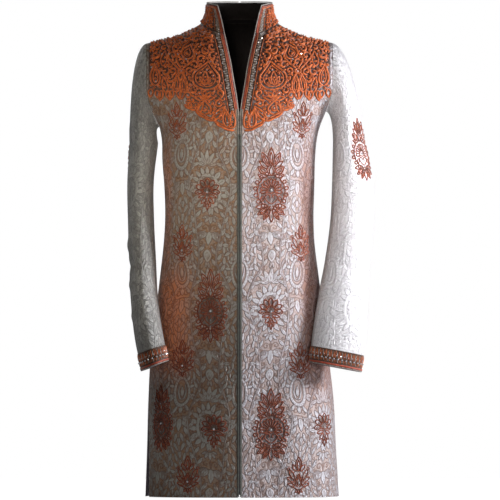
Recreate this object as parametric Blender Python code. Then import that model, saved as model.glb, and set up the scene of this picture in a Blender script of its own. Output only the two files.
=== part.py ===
"""Sherwani coat: hollow cloth walls in the shape of the worn garment, one object for each sewn piece.

Metres, +Z up, the front faces -Y. The origin is the centre of the neck's base, level with the points
where the shoulder seams meet the neckline. Side -1 is the viewer's left, +1 the viewer's right.
"""
from collections import namedtuple
from math import cos, pi, radians, sin

import bpy
import numpy as np

# Driving dimensions
HEM_Z = -1.069                # shoulder level to hem
CLOTH = 0.002                 # brocade with its lining
SEAM = 0.0003                 # half of the gap between two sewn pieces
PIPING_R = 0.0013             # piped edge cord
PIPING_END = 0.0015           # it stops this far above the hem
PIPING_POINTS = 16            # below the V
EDGE_X = 2 * PIPING_R + 0.0010   # a front panel's edge beside the piping
SHOULDER_X = 0.212            # armhole seam at the shoulder
V_BOTTOM_Z = -0.187
SECTION_FULLNESS = 0.64       # handle length of a quarter section, 0.55 is an ellipse
SLIT_TOP_Z = -0.80
SLIT_CURVE = 0.6              # how fast the cloth draws back below the slit's top
APPLIQUE_BASE = 0.0009        # an applique's underside above its panel
UNDERARM_BASE = 0.0016        # the same where the cloth turns most, below the underarm
APPLIQUE_THICK = 0.0014
APPLIQUE_EDGE = 0.0006        # thickness left at its rim
YOKE_INSET = 0.012            # share of a row or column left bare at the yoke's seams
YOKE_EDGE_ROWS = 7            # rows between the scalloped edge and the first whole row
CUFF_BASE = 0.0005
CUFF_THICK = 0.0012
COLLAR_BASE_GAP = 0.0006
HALVINGS = 24                 # steps of a search by halves

# Half widths and depths of the body at each height, hem to underarm
BodyRow = namedtuple("BodyRow", "z left right front back")
BODY = [
    BodyRow(HEM_Z, 0.2155, 0.2275, 0.150, 0.148),
    BodyRow(-0.960, 0.2115, 0.2205, 0.147, 0.146),
    BodyRow(-0.850, 0.2085, 0.2150, 0.143, 0.143),
    BodyRow(-0.760, 0.2040, 0.2050, 0.138, 0.137),
    BodyRow(-0.660, 0.1930, 0.1935, 0.132, 0.128),
    BodyRow(-0.560, 0.1810, 0.1800, 0.126, 0.115),
    BodyRow(-0.480, 0.1725, 0.1705, 0.121, 0.105),
    BodyRow(-0.430, 0.1700, 0.1690, 0.120, 0.102),
    BodyRow(-0.360, 0.1720, 0.1710, 0.124, 0.104),
    BodyRow(-0.300, 0.1765, 0.1725, 0.130, 0.110),
    BodyRow(-0.250, 0.1780, 0.1770, 0.135, 0.115),
    BodyRow(-0.225, 0.1830, 0.1830, 0.137, 0.117),
    BodyRow(-0.190, 0.1970, 0.1970, 0.135, 0.118),
]

# Armhole of each side: underarm point, shoulder height, and where the seam starts to curve in
Armhole = namedtuple("Armhole", "under_x under_z top_z bend_z")
ARMHOLE = {-1: Armhole(0.183, -0.225, -0.034, -0.135), 1: Armhole(0.197, -0.190, -0.033, -0.130)}
ARMHOLE_DEPTH = 0.066
ARMHOLE_CURVE = 1.6               # how late the seam turns in to the underarm

# The front's inner edge above the V's bottom, then the neckline from its front corner to the shoulder
EdgePoint = namedtuple("EdgePoint", "x y z")
V_EDGE = [
    EdgePoint(0.0035, -0.1340, V_BOTTOM_Z),
    EdgePoint(0.0125, -0.1270, -0.137),
    EdgePoint(0.0200, -0.1170, -0.089),
    EdgePoint(0.0285, -0.1030, -0.048),
    EdgePoint(0.0370, -0.0860, -0.0137),
]
NECK_FRONT = [
    EdgePoint(0.0370, -0.0860, -0.0137),
    EdgePoint(0.0610, -0.0640, -0.0060),
    EdgePoint(0.0800, -0.0340, 0.0040),
    EdgePoint(0.0880, 0.0, 0.0120),
]
NECK_BACK = [
    EdgePoint(0.0, 0.0720, 0.0220),
    EdgePoint(0.0300, 0.0690, 0.0218),
    EdgePoint(0.0580, 0.0560, 0.0205),
    EdgePoint(0.0800, 0.0300, 0.0170),
    EdgePoint(0.0880, 0.0, 0.0120),
]
CENTRE_BACK = [
    EdgePoint(0.0, 0.1180, -0.190),
    EdgePoint(0.0, 0.1170, -0.140),
    EdgePoint(0.0, 0.1100, -0.080),
    EdgePoint(0.0, 0.0960, -0.030),
    EdgePoint(0.0, 0.0720, 0.0220),
]
CORNER_V = 0.70               # share of the upper rows that end on the V, or on the centre back

# Directions in which the upper rows leave the inner edge and reach the armhole, with handle lengths.
# The row at the underarm takes them from the body's section.
UpperRow = namedtuple("UpperRow", "v in_x in_y in_z in_len out_x out_y out_z out_len")
UPPER_FRONT = [
    UpperRow(0.25, 1.00, 0.02, 0.00, 0.095, 0.45, 0.88, -0.05, 0.055),
    UpperRow(0.50, 1.00, 0.00, -0.05, 0.080, 0.72, 0.68, -0.10, 0.048),
    UpperRow(0.75, 0.95, -0.02, -0.25, 0.050, 0.90, 0.36, -0.20, 0.045),
    UpperRow(1.00, 0.70, 0.00, -0.70, 0.035, 0.98, 0.00, -0.20, 0.050),
]
UPPER_BACK = [
    UpperRow(0.25, 1.00, 0.00, 0.00, 0.105, 0.45, -0.88, -0.05, 0.050),
    UpperRow(0.50, 1.00, 0.00, 0.00, 0.090, 0.72, -0.68, -0.10, 0.046),
    UpperRow(0.75, 0.98, 0.00, -0.20, 0.055, 0.90, -0.36, -0.20, 0.045),
    UpperRow(1.00, 0.70, 0.00, -0.70, 0.035, 0.98, 0.00, -0.20, 0.050),
]

# Sleeves: the ring's centre, half sizes seen from the front and the side, and how its plane tips
SleeveRow = namedtuple("SleeveRow", "z x y half_width half_depth tip_out tip_front")
SLEEVE = {
    -1: [
        SleeveRow(-0.262, 0.2185, 0.000, 0.0325, 0.0700, 0.00, 0.00),
        SleeveRow(-0.350, 0.2262, -0.004, 0.0303, 0.0690, 0.00, 0.00),
        SleeveRow(-0.440, 0.2250, -0.018, 0.0300, 0.0670, 0.00, 0.04),
        SleeveRow(-0.530, 0.2212, -0.045, 0.0308, 0.0640, 0.05, 0.06),
        SleeveRow(-0.620, 0.2166, -0.076, 0.0310, 0.0610, 0.15, 0.06),
        SleeveRow(-0.700, 0.2065, -0.112, 0.0315, 0.0575, 0.30, 0.04),
        SleeveRow(-0.7695, 0.1925, -0.142, 0.0302, 0.0550, 0.38, 0.02),
    ],
    1: [
        SleeveRow(-0.262, 0.2508, 0.000, 0.0376, 0.0680, 0.00, 0.00),
        SleeveRow(-0.350, 0.2582, -0.004, 0.0468, 0.0620, 0.00, 0.00),
        SleeveRow(-0.440, 0.2565, -0.018, 0.0495, 0.0560, 0.00, 0.04),
        SleeveRow(-0.530, 0.2463, -0.042, 0.0513, 0.0480, 0.03, 0.06),
        SleeveRow(-0.620, 0.2359, -0.068, 0.0571, 0.0390, 0.10, 0.06),
        SleeveRow(-0.700, 0.2270, -0.094, 0.0600, 0.0330, 0.18, 0.05),
        SleeveRow(-0.7723, 0.2178, -0.114, 0.0585, 0.0300, 0.19, 0.03),
    ],
}
CAP_LEAN = {-1: 1.0, 1: 0.6}      # how far out the cap goes before it turns down
CAP_DROP = 0.06                   # how much it drops on the way
CAP_PUFF = 0.010                  # least distance that it stands away from the armhole
CAP_ROUND = 1.04                  # how much rounder than the armhole it is from front to back
SEAM_ROW = 2                      # upper row whose armhole point carries the sleeve's two seams
SEAM_GAP_DEG = 0.35
CUFF_HEIGHT = 0.037

# Stand collar: its top edge over the base line, front tip to centre back
COLLAR_TOP = [
    EdgePoint(0.0520, -0.0520, 0.0500),
    EdgePoint(0.0690, -0.0290, 0.0545),
    EdgePoint(0.0755, 0.0, 0.0570),
    EdgePoint(0.0660, 0.0330, 0.0590),
    EdgePoint(0.0400, 0.0560, 0.0600),
    EdgePoint(0.0, 0.0630, 0.0600),
]
COLLAR_CURVE = 0.004              # how far the band pulls in between its edges
COLLAR_FRONT_SHARE = 0.45         # share of half the collar before the shoulder seam

# The yoke's scalloped lower edge, centre front to armhole
YokePoint = namedtuple("YokePoint", "x z")
YOKE_EDGE = [
    YokePoint(0.004, -0.236),
    YokePoint(0.040, -0.228),
    YokePoint(0.056, -0.213),
    YokePoint(0.078, -0.208),
    YokePoint(0.100, -0.190),
    YokePoint(0.118, -0.180),
    YokePoint(0.128, -0.160),
    YokePoint(0.150, -0.160),
    YokePoint(0.170, -0.165),
    YokePoint(0.195, -0.160),
    YokePoint(0.212, -0.148),
]

# Share of a hem's width by which the cloth draws back beside each slit
SLIT_WIDTH = {("front", -1): 0.185, ("front", 1): 0.02, ("back", -1): 0.01, ("back", 1): 0.01}

# Butas on the fronts: distance from the centre front round the cloth, height of the middle, size
Buta = namedtuple("Buta", "name side s z half_width half_height kind")
BUTAS = [
    Buta("palmette_chest", 1, 0.073, -0.358, 0.043, 0.085, "palmette"),
    Buta("palmette_waist", -1, 0.066, -0.633, 0.040, 0.084, "palmette"),
    Buta("palmette_skirt", 1, 0.072, -0.903, 0.043, 0.082, "palmette"),
    Buta("palmette_side", -1, 0.192, -0.890, 0.036, 0.076, "palmette"),
    Buta("fan_chest", -1, 0.074, -0.378, 0.027, 0.038, "fan"),
    Buta("fan_waist", 1, 0.072, -0.650, 0.026, 0.038, "fan"),
    Buta("fan_skirt", -1, 0.058, -0.917, 0.028, 0.040, "fan"),
    Buta("fan_side", 1, 0.208, -0.914, 0.027, 0.040, "fan"),
    Buta("lily_chest_left", -1, 0.152, -0.212, 0.028, 0.042, "lily"),
    Buta("lily_chest_right", 1, 0.152, -0.210, 0.028, 0.042, "lily"),
    Buta("lily_waist_left", -1, 0.137, -0.490, 0.028, 0.042, "lily"),
    Buta("lily_waist_right", 1, 0.148, -0.490, 0.028, 0.042, "lily"),
    Buta("lily_hip_left", -1, 0.133, -0.752, 0.028, 0.042, "lily"),
    Buta("lily_hip_right", 1, 0.142, -0.757, 0.028, 0.042, "lily"),
    Buta("lily_hem_left", -1, 0.120, -1.016, 0.028, 0.042, "lily"),
    Buta("lily_hem_right", 1, 0.137, -1.018, 0.028, 0.042, "lily"),
]
FACETS = {"palmette": (3, 20), "fan": (2, 16), "lily": (2, 16), "lily_chest": (3, 16)}   # rings, columns
SLEEVE_BUTA = {"s": {-1: -0.045, 1: 0.043}, "z": -0.276, "half_width": 0.036, "half_height": 0.072}

# Colours
BROCADE = (0.62, 0.52, 0.49, 1.0)
EMBROIDERY = (0.55, 0.16, 0.05, 1.0)
PIPING = (0.80, 0.74, 0.72, 1.0)

# Rows of the panels: hem to below the underarm, the flare up to it, then up to the shoulder seam
FLARE_H = 0.90
LOWER_ROWS = 19
FLARE_ROWS = 4
UPPER_V = [0.0, 0.10, 0.22, 0.34, 0.46, 0.58, CORNER_V, 0.76, 0.82, 0.88, 0.94, 1.0]
PANEL_COLUMNS = {"front": 15, "back": 9}
COLLAR_HEIGHTS = [0.0, 1 / 3, 2 / 3, 1.0]
CAP_ROWS = 4
SLEEVE_ROWS = 10


def unit(vector):
    return vector / np.linalg.norm(vector)


def spline(xs, ys, x):
    """Smooth curve through ys at the rising values xs."""
    xs = np.asarray(xs, float)
    ys = np.asarray(ys, float)
    slopes = np.gradient(ys, xs, axis=0)
    i = int(np.clip(np.searchsorted(xs, x) - 1, 0, len(xs) - 2))
    span = xs[i + 1] - xs[i]
    t = min(max((x - xs[i]) / span, 0.0), 1.0)
    h00 = 2 * t**3 - 3 * t**2 + 1
    h10 = t**3 - 2 * t**2 + t
    h01 = 3 * t**2 - 2 * t**3
    h11 = t**3 - t**2
    return h00 * ys[i] + h10 * span * slopes[i] + h01 * ys[i + 1] + h11 * span * slopes[i + 1]


def along(points, share):
    """Point at a share of the length of the smooth line through the points."""
    points = np.asarray(points, float)
    steps = np.linalg.norm(np.diff(points, axis=0), axis=1)
    length = np.concatenate([[0.0], np.cumsum(steps)])
    return spline(length / length[-1], points, share)


def bezier(p0, p1, p2, p3, t):
    t = np.asarray(t)[:, None]
    return (1 - t) ** 3 * p0 + 3 * (1 - t) ** 2 * t * p1 + 3 * (1 - t) * t**2 * p2 + t**3 * p3


def body_size(side, z):
    """Half width, front depth and back depth of the body."""
    half = 1 if side < 0 else 2
    zs = [row.z for row in BODY]
    return spline(zs, [(row[half], row.front, row.back) for row in BODY], z)


def armhole_point(side, angle):
    """Armhole seam: 0 at the shoulder, 90 degrees at the front, 180 at the underarm."""
    hole = ARMHOLE[side]
    middle = (hole.top_z + hole.under_z) / 2
    z = middle + (hole.top_z - middle) * cos(angle)
    drop = max(0.0, (hole.bend_z - z) / (hole.bend_z - hole.under_z))
    x = SHOULDER_X + (hole.under_x - SHOULDER_X) * drop**ARMHOLE_CURVE
    return np.array([x, -ARMHOLE_DEPTH * sin(angle), z])


def upper_ends(side, face, v):
    """Inner edge point and armhole point of an upper row, v = 0 at the underarm, 1 at the shoulder."""
    under_z = ARMHOLE[side].under_z
    if face == "front":
        first = EdgePoint(EDGE_X, -body_size(side, under_z)[1], under_z)
        edge, neck = V_EDGE, NECK_FRONT
        if under_z < V_BOTTOM_Z - 0.01:
            edge = [first] + V_EDGE
        outer = armhole_point(side, pi * (1 - v))
    else:
        first = EdgePoint(SEAM, body_size(side, under_z)[2], under_z)
        edge = [first] + [p for p in CENTRE_BACK if p.z > under_z + 0.01]
        neck = NECK_BACK
        outer = armhole_point(side, pi * (1 + v))
    if v <= CORNER_V:
        inner = along(edge, v / CORNER_V)
    else:
        inner = along(neck, (v - CORNER_V) / (1 - CORNER_V))
    if v == 0:
        inner = np.array(first, float)
    inner[0] = max(inner[0], EDGE_X if face == "front" and v < CORNER_V else SEAM)
    return inner, outer


def row_curve(side, face, h):
    """Line across a panel at row h: 0 hem, 1 underarm, 2 shoulder seam. Built for +X."""
    t = np.linspace(0, 1, 41)
    sign = -1 if face == "front" else 1
    under_z = ARMHOLE[side].under_z
    if h <= 1:
        z = HEM_Z + (under_z - HEM_Z) * h
        half, front, back = body_size(side, z)
        depth = front if face == "front" else back
        edge = EDGE_X if face == "front" else SEAM
        p0 = np.array([edge, sign * depth, z])
        p3 = np.array([half, sign * SEAM, z])
        p1 = p0 + np.array([SECTION_FULLNESS * half, 0, 0])
        p2 = p3 + np.array([0, sign * SECTION_FULLNESS * depth, 0])
        return bezier(p0, p1, p2, p3, t)
    v = h - 1
    inner, outer = upper_ends(side, face, v)
    half, front, back = body_size(side, under_z)
    depth = front if face == "front" else back
    underarm = UpperRow(0.0, 1, 0, 0, SECTION_FULLNESS * half, 0, -sign, 0, SECTION_FULLNESS * depth)
    table = [underarm] + (UPPER_FRONT if face == "front" else UPPER_BACK)
    shape = spline([row.v for row in table], [row[1:] for row in table], v)
    p1 = inner + unit(shape[0:3]) * shape[3]
    p2 = outer - unit(shape[4:7]) * shape[7]
    curve = bezier(inner, p1, p2, outer, t)
    curve[:, 1] += sign * SEAM * (0.5 if v == 1 else 0.0)
    return curve


ROW_CACHE = {}


def row_samples(side, face, h):
    """A row's points with the distance along it."""
    key = (side, face, round(h, 6))
    if key not in ROW_CACHE:
        curve = row_curve(side, face, h)
        steps = np.linalg.norm(np.diff(curve, axis=0), axis=1)
        ROW_CACHE[key] = (curve, np.concatenate([[0.0], np.cumsum(steps)]))
    return ROW_CACHE[key]


def slit_end(side, face, h):
    """Share of a row that the cloth covers: it draws back beside the open slit."""
    z = HEM_Z + (ARMHOLE[side].under_z - HEM_Z) * h
    if z >= SLIT_TOP_Z:
        return 1.0
    open_share = ((SLIT_TOP_Z - z) / (SLIT_TOP_Z - HEM_Z)) ** SLIT_CURVE
    return 1.0 - SLIT_WIDTH[(face, side)] * open_share


def panel_point(side, face, u, h):
    """Point of a panel, u = 0 at the centre edge and 1 at the side, mirrored to its side."""
    curve, length = row_samples(side, face, h)
    s = u * length[-1]
    point = np.array([np.interp(s, length, curve[:, axis]) for axis in range(3)])
    point[0] *= side
    return point


def panel_normal(side, face, u, h):
    step = 0.01
    across = panel_point(side, face, min(u + step, 1), h) - panel_point(side, face, max(u - step, 0), h)
    up = panel_point(side, face, u, min(h + step, 2)) - panel_point(side, face, u, max(h - step, 0))
    normal = unit(np.cross(across, up))
    outward = side if face == "front" else -side
    return normal * outward


def panel_find(side, face, s, z):
    """Row and share of the panel point at distance s from the centre plane and height z."""
    low, high = 0.0, 2.0
    for _ in range(HALVINGS):
        h = (low + high) / 2
        curve, length = row_samples(side, face, h)
        u = np.clip((s - curve[0, 0]) / length[-1], 0, 1)
        if panel_point(side, face, u, h)[2] < z:
            low = h
        else:
            high = h
    return u, h


def make_object(name, verts, faces, color, smooth=True):
    mesh = bpy.data.meshes.new(name)
    mesh.from_pydata([tuple(float(c) for c in v) for v in verts], [], faces)
    mesh.validate()
    mesh.update()
    if smooth:
        mesh.shade_smooth()
        mesh.set_sharp_from_angle(angle=radians(40))
    obj = bpy.data.objects.new(name, mesh)
    bpy.context.scene.collection.objects.link(obj)
    material = bpy.data.materials.new(name)
    material.use_nodes = True
    shader = material.node_tree.nodes["Principled BSDF"]
    shader.inputs["Base Color"].default_value = color
    shader.inputs["Roughness"].default_value = 0.6
    shader.inputs["Metallic"].default_value = 0.0
    mesh.materials.append(material)
    return obj


def volume(verts, faces):
    total = 0.0
    for face in faces:
        for i in range(1, len(face) - 1):
            total += np.dot(verts[face[0]], np.cross(verts[face[i]], verts[face[i + 1]]))
    return total / 6


def wall(name, outer, inner, color, closed=False):
    """Closed solid between two grids of points; closed joins the last column to the first."""
    rows, columns = len(outer), len(outer[0])
    verts = [p for row in outer for p in row] + [p for row in inner for p in row]
    base = rows * columns

    def at(layer, i, j):
        return layer * base + i * columns + j % columns

    faces = []
    spans = columns if closed else columns - 1
    for i in range(rows - 1):
        for j in range(spans):
            faces.append((at(0, i, j), at(0, i, j + 1), at(0, i + 1, j + 1), at(0, i + 1, j)))
            faces.append((at(1, i, j), at(1, i + 1, j), at(1, i + 1, j + 1), at(1, i, j + 1)))
    for j in range(spans):
        faces.append((at(0, 0, j + 1), at(0, 0, j), at(1, 0, j), at(1, 0, j + 1)))
        last = rows - 1
        faces.append((at(0, last, j), at(0, last, j + 1), at(1, last, j + 1), at(1, last, j)))
    if not closed:
        for i in range(rows - 1):
            faces.append((at(0, i, 0), at(0, i + 1, 0), at(1, i + 1, 0), at(1, i, 0)))
            end = columns - 1
            faces.append((at(0, i + 1, end), at(0, i, end), at(1, i, end), at(1, i + 1, end)))
    if volume(verts, faces) < 0:
        faces = [face[::-1] for face in faces]
    return make_object(name, verts, faces, color)


def panel_rows():
    """All rows of a panel, 0 at the hem, 1 at the underarm, 2 at the shoulder seam."""
    lower = np.linspace(0, FLARE_H, LOWER_ROWS)
    flare = np.linspace(FLARE_H, 1, FLARE_ROWS + 1)[1:]
    return list(lower) + list(flare) + [1 + v for v in UPPER_V[1:]]


def panel(name, side, face):
    """A front or a back, hem to shoulder, as a wall of cloth."""
    outer, inner = [], []
    for h in panel_rows():
        end = slit_end(side, face, h) if h < 1 else 1.0
        outer_row, inner_row = [], []
        for u in np.linspace(0, end, PANEL_COLUMNS[face]):
            point = panel_point(side, face, u, h)
            normal = panel_normal(side, face, u, h)
            on_centre = u == 0 and (face == "back" or h < 1.1)
            if on_centre and h < 1 + CORNER_V:
                normal[0] = 0
            if (u == 1 and h <= 1) or h == 2:
                normal[1] = 0
            outer_row.append(point)
            inner_row.append(point - unit(normal) * CLOTH)
        outer.append(outer_row)
        inner.append(inner_row)
    return wall(name, outer, inner, BROCADE)


def sleeve_size(side, z):
    rows = SLEEVE[side][::-1]
    return spline([row.z for row in rows], [row[1:] for row in rows], z)


def sleeve_ring_point(side, z, angle, grow=0.0):
    """Point of the sleeve below the cap: 0 outer side, 90 degrees front, 180 inner side."""
    x, y, half_width, half_depth, tip_out, tip_front = sleeve_size(side, z)
    dx = (half_width + grow) * cos(angle)
    dy = -(half_depth + grow) * sin(angle)
    return np.array([x + dx, y + dy, z - tip_out * dx - tip_front * dy])


def sleeve_point(side, t, angle, grow=0.0):
    """t from 0 at the armhole to 1 at the cap's end, and on to 2 at the cuff's edge. Mirrored."""
    rows = SLEEVE[side]
    if t >= 1:
        z = rows[0].z + (rows[-1].z - rows[0].z) * (t - 1)
        point = sleeve_ring_point(side, z, angle, grow)
    else:
        start = armhole_point(side, angle)
        start[0] += 2 * SEAM
        end = sleeve_ring_point(side, rows[0].z, angle)
        lean = CAP_LEAN[side] + (1 - CAP_LEAN[side]) * (1 - cos(angle)) / 2
        turn = np.array([
            start[0] + max(lean * (end[0] - start[0]), CAP_PUFF),
            (start[1] + end[1]) / 2 * CAP_ROUND,
            start[2] + CAP_DROP * (end[2] - start[2]),
        ])
        point = (1 - t) ** 2 * start + 2 * (1 - t) * t * turn + t**2 * end
    point[0] *= side
    return point


def sleeve_normal(side, t, angle):
    step_t, step_a = 0.01, radians(1)
    down = sleeve_point(side, min(t + step_t, 2), angle) - sleeve_point(side, max(t - step_t, 0), angle)
    round_ = sleeve_point(side, t, angle + step_a) - sleeve_point(side, t, angle - step_a)
    return unit(np.cross(down, round_)) * side


def ring_angles():
    """Columns round a sleeve: the fronts' armhole points, then the backs'."""
    front = [pi * (1 - v) for v in UPPER_V]
    back = [pi * (1 + v) for v in UPPER_V[1:-1]]
    return front, back


def sleeve_part(name, side, angles):
    """Top or under sleeve between two seams, armhole to cuff edge."""
    gap = radians(SEAM_GAP_DEG)
    angles = [angles[0] + gap] + angles[1:-1] + [angles[-1] - gap]
    ts = np.concatenate([np.linspace(0, 1, CAP_ROWS + 1), 1 + np.linspace(0, 1, SLEEVE_ROWS + 1)[1:]])
    outer = [[sleeve_point(side, t, a) for a in angles] for t in ts]
    inner = [[p - sleeve_normal(side, t, a) * CLOTH for p, a in zip(row, angles)]
             for row, t in zip(outer, ts)]
    return wall(name, outer, inner, BROCADE)


def sleeve(side, word):
    front, back = ring_angles()
    under = front[SEAM_ROW::-1] + back[:SEAM_ROW]
    top = back[SEAM_ROW - 1:] + [2 * pi] + [2 * pi + a for a in front[-2:SEAM_ROW - 1:-1]]
    sleeve_part("sleeve_under_" + word, side, under)
    sleeve_part("sleeve_top_" + word, side, top)


def cuff(name, side):
    """Embroidered band laid round the sleeve's end, with the sleeve's own columns."""
    rows = SLEEVE[side]
    length = rows[0].z - rows[-1].z
    first = 2 - CUFF_HEIGHT / length
    ts = np.linspace(first, 2, 3)
    front, back = ring_angles()
    angles = front[::-1] + back

    def grid(height):
        return [[sleeve_point(side, t, a) + sleeve_normal(side, t, a) * height for a in angles] for t in ts]

    return wall(name, grid(CUFF_BASE + CUFF_THICK), grid(CUFF_BASE), EMBROIDERY, closed=True)


def collar_shares():
    """Columns of half the collar, at the points where the panels' rows end on the neckline."""
    steps = [(v - CORNER_V) / (1 - CORNER_V) for v in UPPER_V if v >= CORNER_V]
    return [COLLAR_FRONT_SHARE * x for x in steps] + [1 - (1 - COLLAR_FRONT_SHARE) * x for x in steps[-2::-1]]


def collar_base(share):
    """Neckline from the front corner (0) past the shoulder seam to the centre back (1)."""
    if share <= COLLAR_FRONT_SHARE:
        return along(NECK_FRONT, share / COLLAR_FRONT_SHARE)
    return along(NECK_BACK, (1 - share) / (1 - COLLAR_FRONT_SHARE))


def collar_point(share, height):
    """Point of the stand collar, height 0 at its base and 1 at its top."""
    base = collar_base(share) + np.array([0, 0, COLLAR_BASE_GAP])
    top = along(COLLAR_TOP, share)
    point = base + (top - base) * height
    outward = unit(np.array([base[0], base[1], 0.0]))
    return point - outward * COLLAR_CURVE * 4 * height * (1 - height)


def collar_normal(share, height):
    step = 0.01
    round_ = collar_point(min(share + step, 1), height) - collar_point(max(share - step, 0), height)
    up = collar_point(share, min(height + step, 1)) - collar_point(share, max(height - step, 0))
    normal = unit(np.cross(round_, up))
    if share == 1:
        normal = unit(np.array([0, normal[1], normal[2]]))
    return normal


def collar(name):
    half = collar_shares()
    line = [(share, -1) for share in half] + [(share, 1) for share in half[-2::-1]]
    outer, inner = [], []
    for height in COLLAR_HEIGHTS:
        outer_row, inner_row = [], []
        for share, side in line:
            mirror = np.array([side, 1, 1])
            point = collar_point(share, height)
            outer_row.append(point * mirror)
            inner_row.append((point - collar_normal(share, height) * CLOTH) * mirror)
        outer.append(outer_row)
        inner.append(inner_row)
    return wall(name, outer, inner, EMBROIDERY)


def beside(edge, inward, normal, reach):
    """Place of a cord that lies beside a cut edge, level with the middle of the cloth."""
    return edge - unit(inward - edge) * reach - normal * CLOTH / 2


def piping(name, side):
    """Cord along the collar's top edge, its front end, the V and the front edge."""
    clear = PIPING_R + 2 * SEAM
    mirror = np.array([side, 1, 1])
    path = []
    for share in collar_shares()[::-1]:
        share = min(share, 0.985)
        path.append(collar_point(share, 1) - collar_normal(share, 1) * CLOTH / 2 + np.array([0, 0, clear]))
    path[-1] = path[-1] - unit(collar_point(0.05, 1) - collar_point(0, 1)) * clear
    for height in COLLAR_HEIGHTS[-2:0:-1]:
        edge = collar_point(0, height)
        path.append(beside(edge, collar_point(0.05, height), collar_normal(0, height), clear))
    for v in [v for v in UPPER_V if 0 < v < CORNER_V + 0.01][::-1]:
        edge = panel_point(side, "front", 0, 1 + v) * mirror
        inward = panel_point(side, "front", 0.05, 1 + v) * mirror
        normal = panel_normal(side, "front", 0, 1 + v) * mirror
        reach = clear
        if v == CORNER_V:
            inward = edge + unit(inward - edge) + unit(collar_point(0.05, 0) - collar_point(0, 0))
            normal = unit(normal + collar_normal(0, 0))
            reach = 1.4 * clear
        if edge[2] > V_BOTTOM_Z:
            path.append(beside(edge, inward, normal, reach))
    for z in np.linspace(V_BOTTOM_Z - 0.006, HEM_Z + PIPING_END, PIPING_POINTS):
        depth = body_size(side, z)[1]
        path.append(np.array([EDGE_X - PIPING_R - SEAM, -depth + CLOTH / 2, z]))
    curve = bpy.data.curves.new(name, "CURVE")
    curve.dimensions = "3D"
    curve.bevel_depth = PIPING_R
    curve.bevel_resolution = 1
    curve.use_fill_caps = True
    line = curve.splines.new("POLY")
    line.points.add(len(path) - 1)
    for point, place in zip(line.points, path):
        point.co = (float(place[0]) * side, float(place[1]), float(place[2]), 1)
    obj = bpy.data.objects.new(name, curve)
    bpy.context.scene.collection.objects.link(obj)
    material = bpy.data.materials.new(name)
    material.use_nodes = True
    material.node_tree.nodes["Principled BSDF"].inputs["Base Color"].default_value = PIPING
    curve.materials.append(material)
    return obj


def facet_point(side, u, h):
    """Point of the front's flat facets at a share and a row."""
    rows = panel_rows()
    i = min(max(int(np.searchsorted(rows, h)) - 1, 0), len(rows) - 2)
    columns = np.linspace(0, 1, PANEL_COLUMNS["front"])
    j = min(max(int(np.searchsorted(columns, u)) - 1, 0), len(columns) - 2)
    share_h = (h - rows[i]) / (rows[i + 1] - rows[i])
    share_u = (u - columns[j]) / (columns[j + 1] - columns[j])
    corners = [panel_point(side, "front", columns[b] * slit_end(side, "front", rows[a]), rows[a])
               for a in (i, i + 1) for b in (j, j + 1)]
    low = corners[0] + (corners[1] - corners[0]) * share_u
    high = corners[2] + (corners[3] - corners[2]) * share_u
    return low + (high - low) * share_h


def front_surface(side, u, h):
    """Point on the front's cloth, outside its facets too, and the normal there."""
    end = slit_end(side, "front", h) if h < 1 else 1.0
    point = panel_point(side, "front", u, h)
    normal = panel_normal(side, "front", u, h)
    facet = facet_point(side, min(u / end, 1), h)
    return point + normal * max(0.0, float(np.dot(facet - point, normal))), normal


def yoke_edge_z(x):
    return np.interp(abs(x), [p.x for p in YOKE_EDGE], [p.z for p in YOKE_EDGE])


def column_row(side, u, z=None):
    """Row at which a column of the front reaches a height, or without one the yoke's lower edge."""
    low, high = 0.5, 2.0
    for _ in range(HALVINGS):
        h = (low + high) / 2
        point = panel_point(side, "front", u, h)
        if point[2] < (yoke_edge_z(point[0]) if z is None else z):
            low = h
        else:
            high = h
    return h


def yoke(name, side):
    """Dense corded applique over the chest and the shoulder, made from the front's own columns and rows."""
    columns = list(np.linspace(0, 1, PANEL_COLUMNS["front"]))
    columns[0] += YOKE_INSET
    columns[-1] -= YOKE_INSET
    lows = [column_row(side, u) for u in columns]
    rows = [h for h in panel_rows() if h > max(lows) + 0.02]
    rows[-1] -= YOKE_INSET
    grid = []
    for share in np.linspace(0, 1, YOKE_EDGE_ROWS, endpoint=False):
        line = []
        for u, low in zip(columns, lows):
            low_z = panel_point(side, "front", u, low)[2]
            high_z = panel_point(side, "front", u, rows[0])[2]
            line.append((u, column_row(side, u, low_z + (high_z - low_z) * share)))
        grid.append(line)
    for h in rows:
        grid.append([(u, h) for u in columns])
    last = len(grid) - 1
    top, bottom = [], []
    for i, line in enumerate(grid):
        top_row, bottom_row = [], []
        for j, (u, h) in enumerate(line):
            point, normal = front_surface(side, u, h)
            rim = i in (0, last) or j in (0, len(columns) - 1)
            thick = APPLIQUE_EDGE if rim else APPLIQUE_THICK
            top_row.append(point + normal * (APPLIQUE_BASE + thick))
            bottom_row.append(point + normal * APPLIQUE_BASE)
        top.append(top_row)
        bottom.append(bottom_row)
    return wall(name, top, bottom, EMBROIDERY)


def outline_radius(kind, angle):
    """Outline of a buta for a half size of 1, angle from the top."""
    c = cos(angle)
    if kind == "palmette":
        pointed = 1 - 0.22 * abs(sin(angle)) ** 2 + 0.10 * max(c, 0) ** 6
        return pointed * (0.90 + 0.07 * cos(8 * angle))
    if kind == "fan":
        return 0.86 + 0.12 * cos(3 * angle + pi) * (1 if c > 0 else 0.4)
    return 0.82 + 0.16 * cos(4 * angle)


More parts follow.
